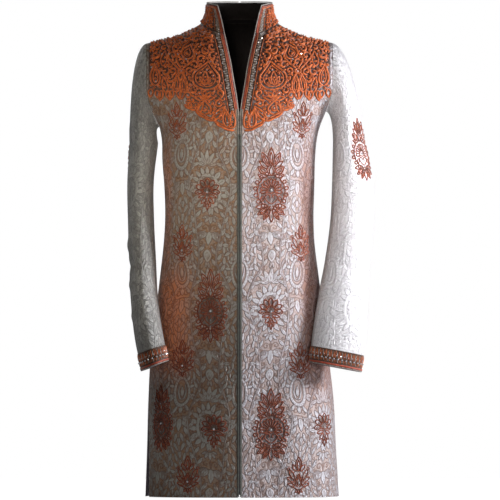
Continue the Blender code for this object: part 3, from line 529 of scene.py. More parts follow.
def damask():
    """Two columns of figures: a leafy medallion at 0 and an oval medallion at half the repeat."""
    f = Figure()
    for turn in range(0, 181, 20):
        rad = math.radians(turn)
        f.leaf(27 * math.sin(rad), 34 * math.cos(rad), turn * 0.94, 21, 11, 4)
    f.oval(0, 0, 29, 36, 22, 0.05, 0.5)
    f.hole(0, 0, 22, 28)
    for turn in range(0, 181, 30):
        f.leaf(3 * math.sin(math.radians(turn)), 4 * math.cos(math.radians(turn)), turn, 20, 8, 2)
    for turn, length, width in ((0, 38, 13), (24, 35, 12), (50, 31, 11), (78, 25, 10)):
        f.leaf(4 * math.sin(math.radians(turn)), 58, turn, length, width, 3)
    f.leaf(21, 62, 108, 20, 9, 3)
    f.curl(18, 97, 9, 200, 1, 1.25, 1.4)
    f.leaf(0, 134, 180, 27, 17, 0)
    f.leaf(0, 128, 180, 15, 8, 0, False)
    f.stroke([(3, 136), (10, 140), (18, 137), (22, 129), (17, 123)], 1.7, 0.8)
    f.leaf(20, 138, 60, 14, 7, 2)
    f.leaf(0, -58, 180, 19, 10, 2)
    f.leaf(3, -58, 145, 18, 8, 2)
    f.leaf(6, -57, 112, 15, 7, 2)
    f.curl(11, -86, 8, 20, -1, 1.3, 1.3)
    f.stroke([(0, -78), (2, -86), (0, -96)], 1.5, 0.9)
    f.leaf(0, -96, 180, 30, 14, 4)
    f.leaf(4, -98, 140, 22, 9, 3)
    f.leaf(8, -97, 105, 20, 8, 3)
    f.curl(26, -112, 8, 300, 1, 1.3, 1.4)
    f.stroke([(8, -96), (18, -100), (27, -104), (34, -112)], 1.4, 0.6)
    x = HALF_W
    f.oval(x, 79, 21, 33, 0, 0, 0.6)
    f.oval(x, 80, 14.5, 25, 0, 0, 0.5)
    f.dots(x, 79, 17.8, 29, 26, 1.0)
    f.hole(x, 80, 14.5, 25)
    f.stroke([(x - 8, 94), (x - 9, 78), (x - 5, 66), (x, 63)], 2.0, 1.2, fill=True)
    f.leaf(x, 70, 0, 22, 9, 3)
    for turn in (-18, -42, -70, -100):
        rad = math.radians(turn)
        f.leaf(x + 21 * math.sin(rad), 79 + 33 * math.cos(rad), turn, 13, 8, 2, False)
    f.leaf(x, 112, 0, 20, 12, 3)
    f.leaf(x, 46, 180, 16, 9, 0)
    f.curl(x - 10, 34, 7, 60, -1, 1.2, 1.3)
    f.stroke([(x - 9, 22), (x, 24)], 1.5, 1.1)
    f.leaf(x, 18, 180, 32, 13, 4)
    f.leaf(x - 5, 12, 218, 22, 9, 3)
    f.leaf(x - 9, 20, 255, 17, 8, 3)
    for turn in (0, -28, -58, -90, -122, -152, 180):
        rad = math.radians(turn)
        f.leaf(x + 20 * math.sin(rad), -119 + 30 * math.cos(rad), turn, 17, 9, 3)
    heights = np.linspace(-134.5, 134.5, 41)
    swing = 2 * PI / FULL_H
    band = [(34 + 15 * math.cos(swing * h) + 3 * math.sin(2 * swing * h), h) for h in heights]
    f.stroke(band, 1.5, 1.3, fill=True)
    for k in range(1, 40, 2):
        px, pz = band[k]
        lean = 28 if k % 4 == 1 else -30
        f.leaf(px + (3 if lean > 0 else -2), pz, lean, 19, 8.5, 3, True, 0.5)
        if k % 4 == 1:
            f.curl(px - 6, pz + 6, 5.5, 90, -1, 1.2, 1.2)
    f.leaf(2, -30, 15, 34, 14, 4)
    f.leaf(5, -8, 40, 24, 11, 3)
    f.leaf(3, 12, 70, 19, 9, 3)
    f.curl(9, 24, 6, 40, 1, 1.2, 1.3)
    f.stroke([(0, -34), (3, -12), (1, 8), (6, 24)], 1.6, 0.8)
    draw = np.random.default_rng(5)
    for k in range(FILL_LEAVES):
        room = f.line + draw.uniform(0, 0.8, f.line.shape)
        row, column = np.unravel_index(int(np.argmax(room)), room.shape)
        free = float(f.line[row, column])
        if free < LEAST_LEAF:
            break
        x, z = float(f.a[row, column]), float(f.b[row, column])
        turn = draw.uniform(-34, 34) + (0 if k % 2 else 180)
        size = min(free, MOST_LEAF)
        if k % 5 == 4:
            f.curl(x, z, size * 0.75, turn, 1 if k % 2 else -1, 1.2, 1.1)
        else:
            rad = math.radians(turn)
            back = 1.3 * size
            f.leaf(x - back * math.sin(rad), z - back * math.cos(rad), turn, 2.6 * size, size, 2, free > 5)
    return f


def sample_tile(tile, s, z):
    """Distance of the damask, drawn a few millimetres out of true as woven cloth is."""
    s, z = (s + 0.0030 * np.sin(31 * z + 1.7) + 0.0022 * np.sin(57 * s - 23 * z),
            z + 0.0034 * np.sin(37 * s + 0.6) + 0.0024 * np.sin(49 * z + 40 * s))
    a = np.abs((s - LATTICE_S + LATTICE_W / 2) % LATTICE_W - LATTICE_W / 2) * 1000
    b = ((z - LATTICE_Z) % LATTICE_H) * 1000
    i, j = b / TILE_STEP, a / TILE_STEP
    i0 = np.minimum(i.astype(int), tile.shape[0] - 2)
    j0 = np.minimum(j.astype(int), tile.shape[1] - 2)
    p, q = i - i0, j - j0
    low = tile[i0, j0] * (1 - q) + tile[i0, j0 + 1] * q
    high = tile[i0 + 1, j0] * (1 - q) + tile[i0 + 1, j0 + 1] * q
    return low * (1 - p) + high * p


# Materials
PAINTED_SHADE_LOW = -0.26            # the lining is painted near-black from this height up: painted shade inside the neck


def new_material(name):
    material = bpy.data.materials.new(name)
    material.use_nodes = True
    tree = material.node_tree
    return material, tree, tree.nodes["Principled BSDF"]


def feed(tree, target, inputs):
    """Link or set the inputs of a node."""
    for key, value in inputs.items():
        if isinstance(value, bpy.types.NodeSocket):
            tree.links.new(value, target.inputs[key])
        else:
            target.inputs[key].default_value = value


def node(tree, kind, inputs=None, **settings):
    made = tree.nodes.new(kind)
    for key, value in settings.items():
        setattr(made, key, value)
    feed(tree, made, inputs or {})
    return made


def total(tree, a, b):
    return node(tree, "ShaderNodeMath", {0: a, 1: b}, operation="ADD").outputs[0]


def product(tree, a, b):
    return node(tree, "ShaderNodeMath", {0: a, 1: b}, operation="MULTIPLY").outputs[0]


def ramp(tree, value, low, high):
    """0 below low and 1 above high, with a soft step between."""
    made = node(tree, "ShaderNodeMapRange", {"Value": value, "From Min": low, "From Max": high},
                interpolation_type="SMOOTHSTEP")
    return made.outputs["Result"]


def mix(tree, share, a, b):
    """From colour a at 0 to colour b at 1; a fixed colour is three numbers."""
    a, b = ((*c, 1) if isinstance(c, tuple) else c for c in (a, b))
    return node(tree, "ShaderNodeMix", {0: share, 6: a, 7: b}, data_type="RGBA").outputs[2]


def attribute(tree, name, output="Fac"):
    return node(tree, "ShaderNodeAttribute", attribute_name=name).outputs[output]


def noise(tree, vector, scale, detail=3.0, stretch=(1, 1, 1)):
    mapped = node(tree, "ShaderNodeMapping", {"Vector": vector, "Scale": stretch}).outputs[0]
    made = node(tree, "ShaderNodeTexNoise", {"Vector": mapped, "Scale": scale, "Detail": detail})
    return made.outputs["Fac"]


def waves(tree, vector, scale, direction, distortion):
    made = node(tree, "ShaderNodeTexWave", {"Vector": vector, "Scale": scale, "Distortion": distortion},
                bands_direction=direction)
    return made.outputs["Fac"]


def relief(tree, height, strength, distance):
    made = node(tree, "ShaderNodeBump", {"Height": height, "Strength": strength, "Distance": distance})
    return made.outputs[0]


def brocade_material():
    """Silver satin figure raised on a tan ground, with brown outlines (partly painted shade) and a fine
    crinkle; its colours come in painted lit and shaded copies, with a painted glow and painted shade at the
    sides.
    """
    material, tree, shader = new_material("brocade")
    cloth = attribute(tree, "cloth", "Vector")
    worn = node(tree, "ShaderNodeMath", {0: noise(tree, cloth, 210, 4.0, (1.0, 0.45, 1.0)), 1: 0.5},
                operation="SUBTRACT").outputs[0]
    ragged = product(tree, worn, 2.4)
    figure = total(tree, attribute(tree, "figure"), ragged)
    body = total(tree, attribute(tree, "shape"), ragged)
    off_rim = node(tree, "ShaderNodeMath", {0: body, 1: 0.35}, operation="SUBTRACT").outputs[0]
    off_rim = node(tree, "ShaderNodeMath", {0: off_rim}, operation="ABSOLUTE").outputs[0]
    rim = ramp(tree, off_rim, 1.5, 0.15)
    vein = product(tree, ramp(tree, figure, 0.7, -0.2), 0.8)
    line = node(tree, "ShaderNodeMath", {0: rim, 1: vein}, operation="MAXIMUM").outputs[0]
    slub = noise(tree, cloth, 900, 2.0, (0.25, 1.0, 1.0))
    # Painted shade: each colour has a lit copy and a shaded copy; the left front and left sleeve get the
    # shaded copy, the right side gets the lit copy and the backs get a blend
    warm, bare = attribute(tree, "warm"), attribute(tree, "bare")

    def yarn(dark, light):
        return mix(tree, slub, dark, light)

    def lit_and_shaded(lit_dark, lit_light, warm_dark, warm_light):
        return mix(tree, warm, yarn(lit_dark, lit_light), yarn(warm_dark, warm_light))

    silver = lit_and_shaded((0.38, 0.38, 0.41), (0.64, 0.63, 0.68), (0.27, 0.265, 0.235), (0.48, 0.47, 0.43))
    tan = lit_and_shaded((0.27, 0.185, 0.155), (0.50, 0.38, 0.34), (0.19, 0.090, 0.038), (0.37, 0.20, 0.098))
    brown = yarn((0.085, 0.034, 0.020), (0.20, 0.095, 0.060))
    # Sleeve colours: near-white lit copies and dark grey shaded copies, a stronger painted light and shade
    # than on the body, with the figure close to the ground in tone
    bare_tan = lit_and_shaded((0.56, 0.56, 0.57), (0.84, 0.84, 0.86), (0.12, 0.125, 0.11), (0.30, 0.30, 0.28))
    bare_brown = lit_and_shaded((0.40, 0.39, 0.41), (0.62, 0.60, 0.63), (0.07, 0.072, 0.065), (0.16, 0.16, 0.15))
    bare_silver = lit_and_shaded((0.60, 0.60, 0.62), (0.88, 0.88, 0.90), (0.27, 0.28, 0.26), (0.50, 0.50, 0.48))
    tan = mix(tree, bare, tan, bare_tan)
    brown = mix(tree, bare, brown, bare_brown)
    silver = mix(tree, bare, silver, bare_silver)
    fleck = product(tree, ramp(tree, noise(tree, cloth, 150), 0.42, 0.62), 0.34)
    base = mix(tree, total(tree, 0.58, fleck), silver, tan)
    colour = mix(tree, ramp(tree, body, 0.1, 1.1), silver, base)
    patch = ramp(tree, noise(tree, cloth, 14, 4.0), 0.48, 0.72)
    colour = mix(tree, product(tree, patch, 0.35), colour, tan)
    # Brown outlines and veins: partly the damask's drawn lines, partly painted shade at the edges of the
    # raised figures
    colour = mix(tree, product(tree, line, 0.70), colour, brown)
    # Painted shade: a dark grey strip beside the bound edge where the two fronts meet
    colour = mix(tree, attribute(tree, "painted_edge_shade"), colour, yarn((0.10, 0.105, 0.095), (0.22, 0.225, 0.21)))
    # Painted light and shade: a warm reddish glow of reflected light on the left hip, and reddish-brown shade
    # along the sides
    painted_glow_colour = mix(tree, line, (0.80, 0.27, 0.12), (0.34, 0.085, 0.034))
    colour = mix(tree, attribute(tree, "painted_glow_shade"), colour, painted_glow_colour)
    # Dark stitched ground under the cords of the yoke and the butas; the same colour also paints the right
    # sleeve's shadow on the right front
    dark_ground_and_shade = yarn((0.026, 0.007, 0.003), (0.095, 0.026, 0.009))
    colour = mix(tree, attribute(tree, "stitched_ground_and_shade"), colour, dark_ground_and_shade)
    rough = total(tree, 0.34, product(tree, line, 0.25))
    threads = total(tree, waves(tree, cloth, 420, "X", 0.4), waves(tree, cloth, 360, "Y", 0.4))
    weave = product(tree, threads, 0.10)
    puffed = product(tree, ramp(tree, body, 1.2, -1.6), 1.5)
    height = total(tree, total(tree, weave, puffed), product(tree, line, -0.5))
    crinkle = product(tree, noise(tree, cloth, 85, 4.0, (1.0, 0.7, 1.0)), 2.2)
    ripple = product(tree, noise(tree, cloth, 30, 2.0, (1.0, 0.7, 1.0)), 3.4)
    height = total(tree, height, total(tree, crinkle, ripple))
    feed(tree, shader, {"Base Color": colour, "Roughness": rough, "Metallic": 0.18, "Sheen Weight": 0.2,
                        "Sheen Roughness": 0.4, "Sheen Tint": (0.95, 0.95, 1.0, 1),
                        "Normal": relief(tree, height, 0.9, 0.0011)})
    return material


def lining_material():
    """Satin without a figure, painted near-black above a set height as painted shade inside the neck."""
    material, tree, shader = new_material("lining")
    cloth = attribute(tree, "cloth", "Vector")
    slub = noise(tree, cloth, 400, 3.0, (1.0, 0.2, 1.0))
    colour = mix(tree, slub, (0.36, 0.33, 0.37), (0.52, 0.49, 0.54))
    upward = node(tree, "ShaderNodeSeparateXYZ", {"Vector": cloth}).outputs["Y"]
    # Painted shade: near-black inside the neck, on the collar lining and on the neck tape
    painted_dark_inside = mix(tree, slub, (0.008, 0.006, 0.007), (0.022, 0.018, 0.018))
    colour = mix(tree, ramp(tree, upward, PAINTED_SHADE_LOW, PAINTED_SHADE_LOW + 0.012), colour, painted_dark_inside)
    height = total(tree, waves(tree, cloth, 380, "X", 0.5), noise(tree, cloth, 60))
    feed(tree, shader, {"Base Color": colour, "Roughness": 0.7, "Specular IOR Level": 0.2,
                        "Normal": relief(tree, height, 0.3, 0.0004)})
    return material


def cord_material(name, dark, light, rough, on_object=False):
    """Twisted thread: fine slanted strands along the cord, with uneven dye."""
    material, tree, shader = new_material(name)
    if on_object:
        thread = node(tree, "ShaderNodeTexCoord").outputs["Object"]
    else:
        thread = attribute(tree, "thread", "Vector")
    slanted = node(tree, "ShaderNodeMapping", {"Vector": thread, "Rotation": (0, 0, 0.9)}).outputs[0]
    strands = waves(tree, slanted, 190, "X", 0.6)
    uneven = ramp(tree, noise(tree, thread, 120, 4.0), 0.34, 0.66)
    share = total(tree, product(tree, strands, 0.45), product(tree, uneven, 0.6))
    feed(tree, shader, {"Base Color": mix(tree, share, dark, light), "Roughness": rough,
                        "Sheen Weight": 0.3, "Normal": relief(tree, strands, 0.6, 0.0004)})
    return material


def base_material(name, dark, light):
    """Closely stitched ground under the cords."""
    material, tree, shader = new_material(name)
    cloth = attribute(tree, "cloth", "Vector")
    fill = noise(tree, cloth, 260, 3.0, (1.0, 0.5, 1.0))
    stitches = total(tree, waves(tree, cloth, 330, "DIAGONAL", 1.2), fill)
    feed(tree, shader, {"Base Color": mix(tree, fill, dark, light), "Roughness": 0.62, "Sheen Weight": 0.2,
                        "Normal": relief(tree, stitches, 0.7, 0.0006)})
    return material


def stone_material():
    material, tree, shader = new_material("stones")
    place = node(tree, "ShaderNodeTexCoord").outputs["Object"]
    cell = node(tree, "ShaderNodeTexVoronoi", {"Vector": place, "Scale": 300.0}).outputs["Distance"]
    feed(tree, shader, {"Base Color": mix(tree, cell, (0.62, 0.62, 0.66), (0.95, 0.94, 0.96)),
                        "Metallic": 0.55, "Roughness": 0.07, "Coat Weight": 0.8})
    return material


# Embroidery shapes: closed or open lines in millimetres
def turned(points, x, z, turn):
    """Points (across, along) of a shape that starts at (x, z) and points turn degrees from up."""
    points = np.asarray(points, float)
    c, s = math.cos(math.radians(turn)), math.sin(math.radians(turn))
    across, up = points[:, 0], points[:, 1]
    return np.stack([x + across * c + up * s, z - across * s + up * c], axis=-1)


def leaf_loop(x, z, turn, length, width, belly=0.8):
    t = np.linspace(0, 1, 11)
    half = width / 2 * np.sin(PI * t**belly)
    up = np.stack([half, t * length], axis=-1)
    down = np.stack([-half[::-1], t[::-1] * length], axis=-1)
    return turned(np.concatenate([up, down[1:]]), x, z, turn)


def drop_loop(x, z, turn, length, width):
    """Teardrop with its round end at the start and its tip at the far end."""
    t = np.linspace(0, 2 * PI, 27)
    along_ = length / 2 * (1 - np.cos(t))
    across = width / 2 * np.sin(t) * (0.5 + 0.5 * np.cos(t / 2) ** 2) * 1.35
    tip = np.where(along_ > length * 0.55, (1 - (along_ - length * 0.55) / (length * 0.45)) ** 0.6, 1.0)
    return turned(np.stack([across * tip, along_], axis=-1), x, z, turn)


def ring_loop(x, z, half_a, half_b, scallops=0, depth=0.0):
    t = np.linspace(0, 2 * PI, 73 if scallops else 33)
    edge = 1 + depth * np.abs(np.sin(t * scallops / 2))
    return np.stack([x + half_a * edge * np.sin(t), z + half_b * edge * np.cos(t)], axis=-1)


def spiral(x, z, size, turn, way=1, turns=1.3):
    angles = np.linspace(0, turns * 2 * PI, 22)
    r = size * (0.10 + 0.90 * (angles / angles[-1]) ** 0.8)
    base = math.radians(turn)
    return np.stack([x + r * np.sin(base + way * angles), z + r * np.cos(base + way * angles)], axis=-1)


def smooth_line(points, count=24):
    points = np.asarray(points, float)
    return np.array([along(points, k / (count - 1)) for k in range(count)])


def petals(turns, middle, out_x, out_z, length, width, belly, weight):
    """Ring or fan of leaves that point outward from an oval."""
    lines = []
    for turn in turns:
        x = out_x * math.sin(math.radians(turn))
        z = middle + out_z * math.cos(math.radians(turn))
        lines.append((leaf_loop(x, z, turn, length, width, belly), weight))
    return lines


def paired(way, rows):
    """Leaves of one side from rows of x, z, turn, length, width, belly and weight."""
    return [(leaf_loop(way * x, z, way * turn, length, width, belly), weight)
            for x, z, turn, length, width, belly, weight in rows]


def palmette_lines():
    """Crown of leaves over leafy shoulders, a fan of petals in a pointed oval, and a leafy foot."""
    lines = [(ring_loop(0, -14, 31, 34, 14, 0.07), 1.25)]
    lines += petals(range(14, 347, 22), -14, 32, 35, 10, 8.5, 1.1, 1.1)
    lines += petals(range(-100, 101, 20), -12, 6, 6, 21, 7.4, 1.5, 1.05)
    waist = [(-28, -17), (-15, -20), (-5, -17), (0, -20), (5, -17), (15, -20), (28, -17)]
    lines.append((smooth_line(waist), 1.1))
    for way in (-1, 1):
        hook = [(0, -44), (way * 10, -37), (way * 15, -28), (way * 10, -22), (way * 3, -25), (way * 5, -31)]
        lines.append((smooth_line(hook), 1.15))
        lines += paired(way, [
            (17, -25, 150, 17, 7, 0.8, 0.95), (6, 23, 54, 31, 15, 1.0, 1.25), (11, 27, 54, 19, 6, 1.0, 0.8),
            (7, 20, 84, 25, 9, 1.0, 1.05), (5, 40, 26, 38, 13, 1.1, 1.2), (8, 46, 27, 23, 4.6, 1.1, 0.75),
            (7, 36, 48, 28, 9, 1.0, 1.1), (7, -47, 98, 30, 11, 0.9, 1.15), (5, -50, 124, 33, 12, 0.9, 1.25),
            (11, -54, 124, 19, 4.4, 0.9, 0.75), (3, -53, 150, 31, 11, 0.9, 1.2),
            (7, -60, 150, 17, 3.6, 0.9, 0.75)])
    lines += paired(1, [(0, 42, 0, 43, 15, 1.0, 1.3), (0, 47, 0, 28, 6, 1.0, 0.85),
                        (0, 20, 0, 22, 9, 1.0, 1.05), (0, -55, 180, 30, 10, 0.9, 1.2)])
    return lines, [(0, -12, 2.6), (0, 38, 1.5), (0, -48, 1.4), (-22, 34, 1.2), (22, 34, 1.2), (0, -33, 1.2)]


def fan_lines():
    """Arched row of petals over wings and a three-leaf fleur that ends in a point."""
    lines = petals(range(-96, 97, 32), 6, 7, 7, 23, 10.5, 1.4, 1.2)
    for way in (-1, 1):
        lines.append((smooth_line([(0, 0), (way * 8, 2), (way * 17, 0), (way * 26, 4)], 12), 1.0))
        lines += paired(way, [(2, -4, 104, 21, 7, 0.8, 0.95), (2, -10, 136, 19, 7.5, 0.8, 0.95),
                              (1, -16, 158, 17, 6, 0.8, 0.9)])
    lines.append((leaf_loop(0, -8, 180, 31, 8.5), 1.0))
    return lines, [(0, 4, 2.6), (0, -10, 1.4), (-22, 0, 1.1), (22, 0, 1.1)]


def lily_lines():
    """Pointed bud, curling side leaves and an open drop over a pointed base."""
    lines = [(leaf_loop(0, 8, 0, 34, 14, 1.0), 1.0), (leaf_loop(0, 12, 0, 22, 7, 1.0), 0.8),
             (drop_loop(0, -27, 0, 31, 15), 1.0), (drop_loop(0, -23, 0, 21, 8), 0.75)]
    for way in (-1, 1):
        lines += paired(way, [(4, 8, 34, 20, 8, 1.0, 0.95), (8, -13, 30, 30, 9, 1.2, 1.0),
                              (10, -16, 56, 21, 8, 1.0, 0.95), (8, -24, 76, 19, 7, 1.0, 0.95)])
        lines.append((spiral(way * 23, 14, 4.4, way * 150, way, 1.0), 0.85))
        lines.append((smooth_line([(0, -41), (way * 6, -31), (way * 15, -27), (way * 24, -22)], 12), 1.0))
        lines.append((leaf_loop(way * 1, -32, way * 132, 11, 5), 0.85))
    lines.append((leaf_loop(0, -31, 180, 12, 6), 0.95))
    return lines, [(0, -17, 2.4), (0, 17, 1.3), (0, -30, 1.1), (-15, -6, 1.0), (15, -6, 1.0)]


# Each kind's lines, and its half width and half height in millimetres
SHAPES = {"palmette": (palmette_lines, 43, 85), "fan": (fan_lines, 27, 39), "lily": (lily_lines, 28, 42)}


def resample(points, step):
    points = np.asarray(points, float)
    length = run_of(points)
    count = max(4, int(round(length[-1] / step)) + 1)
    at = np.linspace(0, length[-1], count)
    return np.stack([np.interp(at, length, points[:, k]) for k in range(points.shape[1])], axis=-1)


ROUND_PROFILE = np.array([(-1.0, 0.0), (-0.72, 0.72), (0.0, 1.0), (0.72, 0.72), (1.0, 0.0)])
FLAT_PROFILE = np.array([(-1.0, 0.0), (-0.8, 0.8), (0.8, 0.8), (1.0, 0.0)])
STRIP_PROFILE = np.array([(-1.0, 0.0), (-0.9, 1.0), (0.9, 1.0), (1.0, 0.0)])
GEM = [(0.0, 0.0, 1.0)] + [(math.cos(k * PI / 3), math.sin(k * PI / 3), 0.45) for k in range(6)]


class Stitches:
    """Cords, the band under each of them and the stones of one embroidered piece; the band is a near-black
    painted cord shadow, except on the butas, where it is a rust fringe.
    """

    def __init__(self):
        self.verts, self.faces, self.kinds, self.threads, self.gems = [], [], [], [], []
        self.count = 0

    def put(self, verts, faces, kind, thread):
        self.verts.append(verts)
        self.faces.append(faces + self.count)
        self.kinds.append(np.full(len(faces), kind))
        self.threads.append(thread)
        self.count += len(verts)

    def cord(self, points, normals, half, high, kind=THREAD, profile=ROUND_PROFILE, taper=True, swell=0.0):
        n, m = len(points), len(profile)
        side = unit(np.cross(np.gradient(points, axis=0), normals))
        ends = np.ones(n)
        if taper:
            ends[[0, -1]] = 0.35
            ends[[1, -2]] = 0.85
        if swell:
            ends = ends * (1 - swell + 2 * swell * np.sin(PI * np.linspace(0, 1, n)))
        scale = ends[:, None, None]
        verts = points[:, None] + side[:, None] * (profile[None, :, :1] * half) * scale
        verts = verts + normals[:, None] * (profile[None, :, 1:] * high) * scale
        run = run_of(points)
        thread = np.zeros((n, m, 3))
        thread[..., 0] = run[:, None] + self.count * 0.0137
        thread[..., 1] = np.linspace(-1.2, 1.2, m) * half
        self.put(verts.reshape(-1, 3), grid_quads(n, m, False), kind, thread.reshape(-1, 3))

    def stone(self, point, normal, size):
        a = unit(np.cross(normal, (0.31, 0.2, 0.93)))
        b = np.cross(normal, a)
        gem = np.array(GEM) * size
        verts = point + gem[:, :1] * a + gem[:, 1:2] * b + gem[:, 2:] * normal
        skirt = point + gem[1:, :1] * a * 1.15 + gem[1:, 1:2] * b * 1.15 - normal * size * 0.15
        verts = np.concatenate([verts, skirt])
        around = np.arange(6)
        ahead = (around + 1) % 6
        top = np.stack([np.zeros(6, int), 1 + around, 1 + ahead], axis=-1)
        sides = np.stack([1 + around, 7 + around, 7 + ahead, 1 + ahead], axis=-1)
        self.gems.append((verts, top, sides))

    def build(self, name, materials):
        """One mesh of the cords, with the stones' sides and tops after them."""
        tops = [np.zeros((0, 3), int)]
        for verts, top, sides in self.gems:
            tops.append(top + self.count)
            self.put(verts, sides, STONE, verts)
        tops = np.concatenate(tops)
        kinds = np.concatenate(self.kinds + [np.full(len(tops), STONE)])
        faces = [np.concatenate(self.faces), tops]
        threads = {"thread": np.concatenate(self.threads)}
        return mesh_from(name, np.concatenate(self.verts), faces, materials, threads, kinds)


CORD_LIFT = 0.0006            # a cord lies on its edging
GEM_LIFT = 0.0013


def stitch_lines(stitches, lines, stones, place, cord, high, edging_and_shadow, step, scale=(1.0, 1.0)):
    """Sew lines in millimetres through place, which maps (x, z) arrays to surface points and normals."""
    pieces, sizes = [], []
    for line, weight, *swell in lines:
        dense = resample(np.asarray(line, float) * scale, step)
        pieces.append(dense)
        sizes.append((weight, swell[0] if swell else 0.0))
    flat = np.concatenate(pieces)
    points, normals = place(flat[:, 0], flat[:, 1])
    start = 0
    for dense, (weight, swell) in zip(pieces, sizes):
        stop = start + len(dense)
        p, n = points[start:stop], normals[start:stop]
        half = 0.001 * cord * weight
        wide = half + edging_and_shadow * 0.001
        # The band under each cord: a near-black painted shadow in most work, a rust fringe on the butas
        stitches.cord(p + n * CORD_LIFT * 0.3, n, wide, 0.0007, EDGE, FLAT_PROFILE, swell=swell)
        stitches.cord(p + n * CORD_LIFT, n, half, 0.001 * high * weight, THREAD, swell=swell)
        start = stop
    spots = np.array([(x * scale[0], z * scale[1]) for x, z, _ in stones])
    points, normals = place(spots[:, 0], spots[:, 1])
    for point, normal, (_, _, size) in zip(points, normals, stones):
        stitches.stone(point + normal * GEM_LIFT, normal, size * 0.001)


MOST_SCROLLS = 400
SCROLL_PITCH = 2.5            # millimetres between the places that are tried
SCROLL_MARGIN = 2.4
CURL_FROM = 7.5               # rooms from this size hold a curl, and smaller ones a hook or a bow
HOOK_FROM = 5.5


def fill_with_scrolls(lines, inside, x_range, z_range, least, most, seed):
    """Curls, hooks and bows in what the lines leave open; inside gives the room to the border."""
    made = []
    local = np.random.default_rng(seed)
    xs, zs = np.meshgrid(np.arange(*x_range, SCROLL_PITCH), np.arange(*z_range, SCROLL_PITCH))
    spots = np.stack([xs.ravel(), zs.ravel()], axis=-1)
    room = inside(spots[:, 0], spots[:, 1])
    spots, room = spots[room > least], room[room > least]

    def shrink(points):
        for chunk in np.array_split(points, max(1, len(points) // 60)):
            gap = np.linalg.norm(spots[:, None] - chunk[None], axis=-1).min(1)
            np.minimum(room, gap, out=room)

    for line, *_ in lines:
        shrink(resample(line, 3.0))
    while len(made) < MOST_SCROLLS:
        k = int(np.argmax(room))
        size = min(room[k], most)
        if size < least:
            break
        x, z = spots[k]
        turn, way = local.uniform(0, 360), local.choice([-1, 1])
        reach = size - SCROLL_MARGIN
        if size > CURL_FROM:
            line, weight, swell = spiral(x, z, reach, turn, way, 0.95 + 0.2 * local.random()), 1.7, 0.35
        elif size > HOOK_FROM:
            hook = [(0, -reach), (way * 0.45 * reach, -0.3 * reach), (way * 0.25 * reach, 0.6 * reach),
                    (-way * 0.45 * reach, 0.75 * reach)]
            line, weight, swell = turned(smooth_line(hook, 10), x, z, turn), 1.9, 0.45
        else:
            bow = [(0, -reach - 0.6), (way * 0.9, 0), (0, reach + 0.6)]
            line, weight, swell = turned(smooth_line(bow, 6), x, z, turn), 1.7, 0.45
        made.append((line, weight, swell))
        shrink(resample(line, 2.0))
        room[k] = 0
    return made


# Cloth pieces
brocade = brocade_material()
lining = lining_material()
rust = cord_material("rust_cord", (0.17, 0.022, 0.003), (0.86, 0.19, 0.022), 0.45)
# Near-black band under the cords of the yoke, collar, cuffs and centre edge: painted shadow of the raised
# cords
edging_and_shadow = cord_material("painted_cord_shadow", (0.016, 0.006, 0.003), (0.050, 0.016, 0.007), 0.7)
stones = stone_material()
silver_thread = cord_material("silver_thread", (0.13, 0.070, 0.035), (0.66, 0.60, 0.54), 0.26)
maroon = cord_material("maroon_strip", (0.20, 0.018, 0.008), (0.50, 0.075, 0.022), 0.42)
bound = cord_material("bound_edge", (0.050, 0.056, 0.048), (0.14, 0.15, 0.13), 0.42)
ground = base_material("stitched_ground", (0.030, 0.013, 0.007), (0.12, 0.050, 0.022))
deep = cord_material("deep_rust_cord", (0.010, 0.003, 0.0015), (0.15, 0.026, 0.005), 0.34)
fringe = cord_material("rust_fringe", (0.080, 0.013, 0.003), (0.78, 0.130, 0.012), 0.5)
WORK = [rust, edging_and_shadow, stones, silver_thread, maroon, bound]
BUTA_WORK = [deep, fringe, stones, silver_thread, maroon, bound]

tile = damask()

